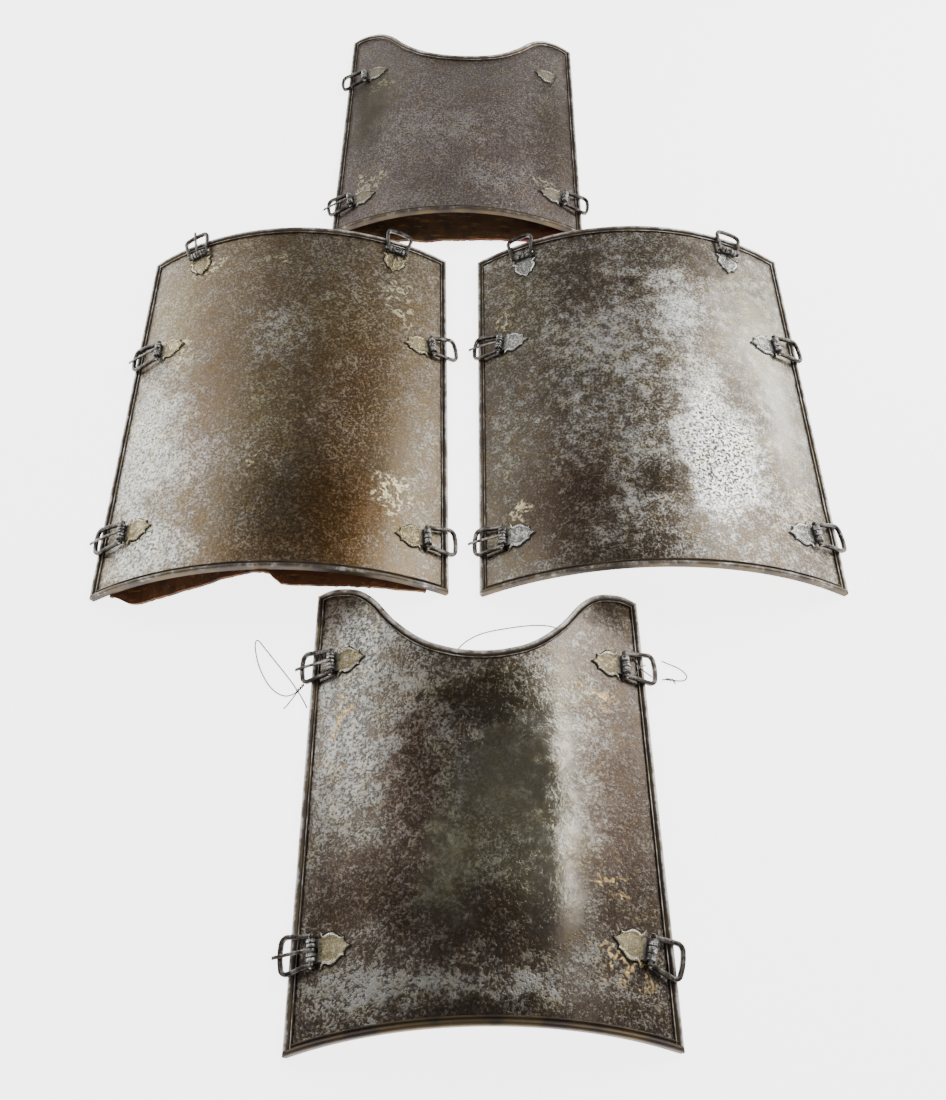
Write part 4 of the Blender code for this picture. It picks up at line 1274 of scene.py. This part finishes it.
def add_tongue(seat):
    """A tongue round its pin, out over the frame or folded back over the leaf."""
    rows = tongue_line(seat.facts["reach"])
    numbers = {
        "Width": TONGUE_THICKNESS, "Height": TONGUE_WIDTH, "Rounding": TONGUE_ROUNDING,
        "Hammering": TONGUE_HAMMERING}
    forged = grow(bar, path_mesh([(x, z, 0.0) for x, z, _ in rows], [share for *_, share in rows]), numbers)
    forged.transform(Matrix.Rotation(math.pi / 2, 4, "X"))
    points, faces = mesh_parts(forged)
    mesh = make_mesh("tongue", points, faces, {"steel": np.zeros(len(points))}, sharp=50.0)
    back = seat.tongue == "back"
    mesh.transform(seat.matrix(BACK_ELEVATION - math.pi if back else math.radians(seat.facts["rest angle"])))
    node = seat.named("tongue")
    return show(seat.named("prick"), mesh, tongue_iron, "tongue", node, node)


tongues = [add_tongue(seat) for seat in seats if seat.tongue in ("out", "back")]
print("tongues:", len(tongues))

# %% [markdown]
# ## The linings
#
# Two plates keep their stiff lining of layered cloth. It follows the hollow of the plate and has come
# loose along the lower edge, where it sags to the table in folds. Cloth this stiff barely drapes, so its
# folds are modelled in the sheet itself: a short table says how far each place has sagged and how far it
# sticks out.

# %% The lining's finish
THREAD = 0.0009
FIBRE_STRETCH = (0.22, 1.0, 2.2)
CLOTH_STAIN = (0.012, 0.006, 0.004)
CLOTH_PAINTED_SHADE = (0.010, 0.006, 0.004)


def lining_finish(name, above, below, lean, rise, fibre_colour):
    """
    Two colours of cloth in torn layers. lean brings the lower one up towards one side, and rise hides it
    away from the front edge. Painted shade darkens it further in, under the plate.
    """
    finish = Finish(name)
    parts = finish.add("ShaderNodeSeparateXYZ", None, {0: finish.own_place("face")})
    across, up = Amount(finish, parts.outputs[0]), Amount(finish, parts.outputs[1])
    weft, warp = ((way * (2 * math.pi / THREAD)).math("SINE") for way in (across, up))
    weave = (weft * warp * 0.5 + 0.5).clamped()
    fine = finish.noise(0.0008, 3.0, 0.7, 3.0)
    stain = finish.noise(0.010, 4.0, 0.6, 5.0)
    fibres = finish.noise(0.0035, 4.0, 0.68, 14.0, FIBRE_STRETCH)
    layer = finish.own("under") * 0.5 + across * lean - up * rise + (stain - 0.5) * 1.2 + 0.25
    layer = layer.step(0.44, 0.58)
    colour = finish.mix(layer, above, below)
    colour = finish.mix(stain.step(0.38, 0.72) * 0.70, colour, CLOTH_STAIN)
    colour = finish.mix(fibres.step(0.54, 0.72) * (1.0 - layer * 0.6) * 0.75, colour, fibre_colour)
    # Painted shade, darker further in under the plate
    colour = finish.mix((up * 24.0).clamped() * 0.85, colour, CLOTH_PAINTED_SHADE)
    finish.surface(colour, 0.92 - weave * 0.06, 0.0)
    finish.relief(weave * 0.4 + fine * 0.4 + fibres * 0.8, 0.0005)
    return finish.material


lining_cloths = {
    "left": lining_finish(
        "left_lining_cloth", (0.130, 0.044, 0.010), (0.060, 0.024, 0.008), 0.0, 0.0, (0.40, 0.165, 0.035)),
    "upper": lining_finish(
        "upper_lining_cloth", (0.090, 0.040, 0.012), (0.100, 0.006, 0.005), 4.5, 9.0, (0.30, 0.170, 0.045)),
}
print("lining cloths:", list(lining_cloths))

# %% Lay the linings in their plates
LINING_THICKNESS = 0.0020
LINING_GAP = 0.0008
LINING_LIFT = 0.0004
# Shares of the plate's length: the finely folded front, the sagging part and the whole
LINING_FRONT, LINING_SAG_LENGTH, LINING_REACH = 0.06, 0.26, 0.95
FRAY_WAVES, FRAY_DEPTH = 60, 0.0005
FOLD_WAVES = (90, 30)
FOLD_HEIGHT, FOLD_SHIFT, FOLD_FALL, FOLD_ROOM = 0.0016, 0.0006, 22, 0.004
LINING_ACROSS = 110
# Share across, sag and overhang
LININGS = {
    "left": (
        (-0.88, 0.00, 0.0010), (-0.77, 0.97, 0.0030), (-0.60, 0.68, 0.0030), (-0.42, 0.43, 0.0025),
        (-0.25, 0.22, 0.0018), (-0.10, 0.05, 0.0010), (0.03, 0.02, 0.0010), (0.09, 0.33, 0.0025),
        (0.25, 0.36, 0.0030), (0.42, 0.33, 0.0030), (0.62, 0.25, 0.0025), (0.78, 0.30, 0.0010),
        (0.88, 0.00, 0.0010)),
    "upper": (
        (-0.88, 0.00, 0.0010), (-0.78, 0.70, 0.0030), (-0.62, 0.97, 0.0055), (-0.45, 1.00, 0.0068),
        (-0.25, 1.00, 0.0072), (-0.08, 1.00, 0.0055), (0.08, 1.00, 0.0048), (0.25, 1.00, 0.0045),
        (0.42, 1.00, 0.0055), (0.58, 0.96, 0.0060), (0.70, 0.85, 0.0040), (0.80, 0.45, 0.0020),
        (0.88, 0.00, 0.0010)),
}


def add_lining(name, face, seed):
    """The lining under a plate, laid to its hollow and sagging to the table along its front edge."""
    table = LININGS[name]
    shares = np.linspace(table[0][0], table[-1][0], LINING_ACROSS)
    sag = np.clip([smooth_table(table, x) for x in shares], 0, 1)
    overhang = np.array([smooth_table(table, x, 2) for x in shares])
    fray = ripple(np.stack([shares * FRAY_WAVES, shares * 0, shares * 0], axis=-1), 1.0, seed)
    overhang = overhang + FRAY_DEPTH * fray
    along = np.concatenate([
        np.linspace(0, LINING_FRONT, 10)[:-1], np.linspace(LINING_FRONT, LINING_SAG_LENGTH, 14)[:-1],
        np.linspace(LINING_SAG_LENGTH, LINING_REACH, 16)])
    front = face.lower_edge(shares) - overhang
    back = face.upper_edge(shares)
    y = front + (back - front) * along[:, None]
    s = np.broadcast_to(shares * face.half_arc, y.shape)
    fade = np.cos(math.pi / 2 * np.minimum(along / LINING_SAG_LENGTH, 1.0))[:, None]
    waves = np.stack([s * FOLD_WAVES[0], y * FOLD_WAVES[1], s * 0], axis=-1)
    folds = ripple(waves, 1.0, seed + 3).reshape(y.shape)
    near_edge = np.exp(-along * FOLD_FALL)[:, None]
    layers = []
    for depth, floor, shift in (
            (SHEET + LINING_GAP, LINING_LIFT + LINING_THICKNESS, 1.0),
            (SHEET + LINING_GAP + LINING_THICKNESS, LINING_LIFT, 0.4)):
        p = face.world(s, y, -depth)
        z = np.maximum(p[..., 2] + (floor - p[..., 2]) * sag * fade, floor)
        room = np.clip((p[..., 2] - z) / FOLD_ROOM, 0, 1)
        p[..., 2] = z + np.abs(folds) * FOLD_HEIGHT * near_edge * room
        p[..., 1] += folds * FOLD_SHIFT * near_edge * shift
        layers.append(p)
    points, faces = shell(*layers)
    across_up = np.stack([s, y, s * 0], axis=-1).reshape(-1, 3)
    under = np.concatenate([np.zeros(s.size), np.ones(s.size)])
    numbers = {"face": np.concatenate([across_up, across_up]), "under": under}
    mesh = make_mesh(name, points, faces, numbers, sharp=60.0)
    lining = show(name + "_cloth", mesh, lining_cloths[name], "lining", "plates", name + "_lining")
    width = float((shares[-1] - shares[0]) * face.half_arc)
    length = float(np.mean(back - front)) * LINING_REACH
    name + "_sheet"
    print(lining.name, "flat size", round(width, 3), round(length, 3))
    return lining


for seed, name in enumerate(LININGS):
    add_lining(name, faces_of[name], seed + 20)

# %% [markdown]
# ## Table and light
#
# The photograph was taken on white under large soft lights. A pale table and a few wide lamps do the
# same. Their reflections are what draws the long soft bands down the curved faces.

# %% Set the table
TABLE_SIZE = 4.0
PAPER_GLOW = 3.8
table = bpy.data.objects.new("table", bpy.data.meshes.new("table"))
half = TABLE_SIZE / 2
table.data.from_pydata(
    [(-half, -half, 0.0), (half, -half, 0.0), (half, half, 0.0), (-half, half, 0.0)], [], [(0, 1, 2, 3)])
bpy.context.collection.objects.link(table)
paper = Finish("paper")
paper.surface((0.93, 0.93, 0.93), 0.75, 0.0)
paper.feed(paper.shader.inputs["Emission Color"], (1.0, 1.0, 1.0))
paper.feed(paper.shader.inputs["Emission Strength"], PAPER_GLOW)
table.data.materials.append(paper.material)

# %% Hang the lamps
ROOM_LIGHT = 0.34
# Place, aim, long side, width, length, brightness and colour
LAMPS = {
    "roof": ((0.0, -1.90, 1.35), (0.0, 0.0, 0.0), (1.0, 0.0, 0.0), 1.0, 2.0, 1.8, (1.0, 0.995, 0.98)),
    "far_wall": ((0.0, 2.10, 0.32), (0.0, 0.0, 0.05), (1.0, 0.0, 0.0), 0.45, 1.4, 1.8, (1.0, 1.0, 1.0)),
    "left_panel": ((-1.05, 0.55, 0.62), (-0.05, 0.0, 0.0), (0.0, 1.0, 0.0), 1.0, 0.9, 3.3, (0.96, 0.98, 1.0)),
    "right_panel": ((1.15, 0.55, 0.62), (0.05, 0.0, 0.0), (0.0, 1.0, 0.0), 0.9, 0.9, 4.8, (1.0, 1.0, 1.0)),
    "window": (
        (0.480, -0.02, 0.66), (0.05, -0.30, 0.0), (0.0, 1.0, 0.0), 0.045, 0.50, 14.0, (0.97, 0.99, 1.0)),
    "far_window": (
        (0.580, 0.42, 0.66), (0.15, -0.05, 0.0), (0.17, 0.40, 0.0), 0.10, 0.44, 18.0, (0.97, 0.99, 1.0)),
}
for name, (place, aim, long_side, width, length, brightness, colour) in LAMPS.items():
    lamp = bpy.data.lights.new(name, "AREA")
    lamp.shape = "RECTANGLE"
    lamp.size, lamp.size_y = width, length
    lamp.energy = brightness * math.pi * width * length
    lamp.color = colour
    holder = bpy.data.objects.new(name, lamp)
    away = (Vector(place) - Vector(aim)).normalized()
    over = Vector(long_side).cross(away).normalized()
    turn = Matrix((over, away.cross(over), away)).transposed().to_4x4()
    holder.matrix_world = Matrix.Translation(place) @ turn
    bpy.context.collection.objects.link(holder)

world = bpy.data.worlds.new("room")
world.use_nodes = True
background = world.node_tree.nodes["Background"].inputs
background[0].default_value = (1.0, 1.0, 1.0, 1.0)
background[1].default_value = ROOM_LIGHT
bpy.context.scene.world = world
print("lamps:", list(LAMPS))
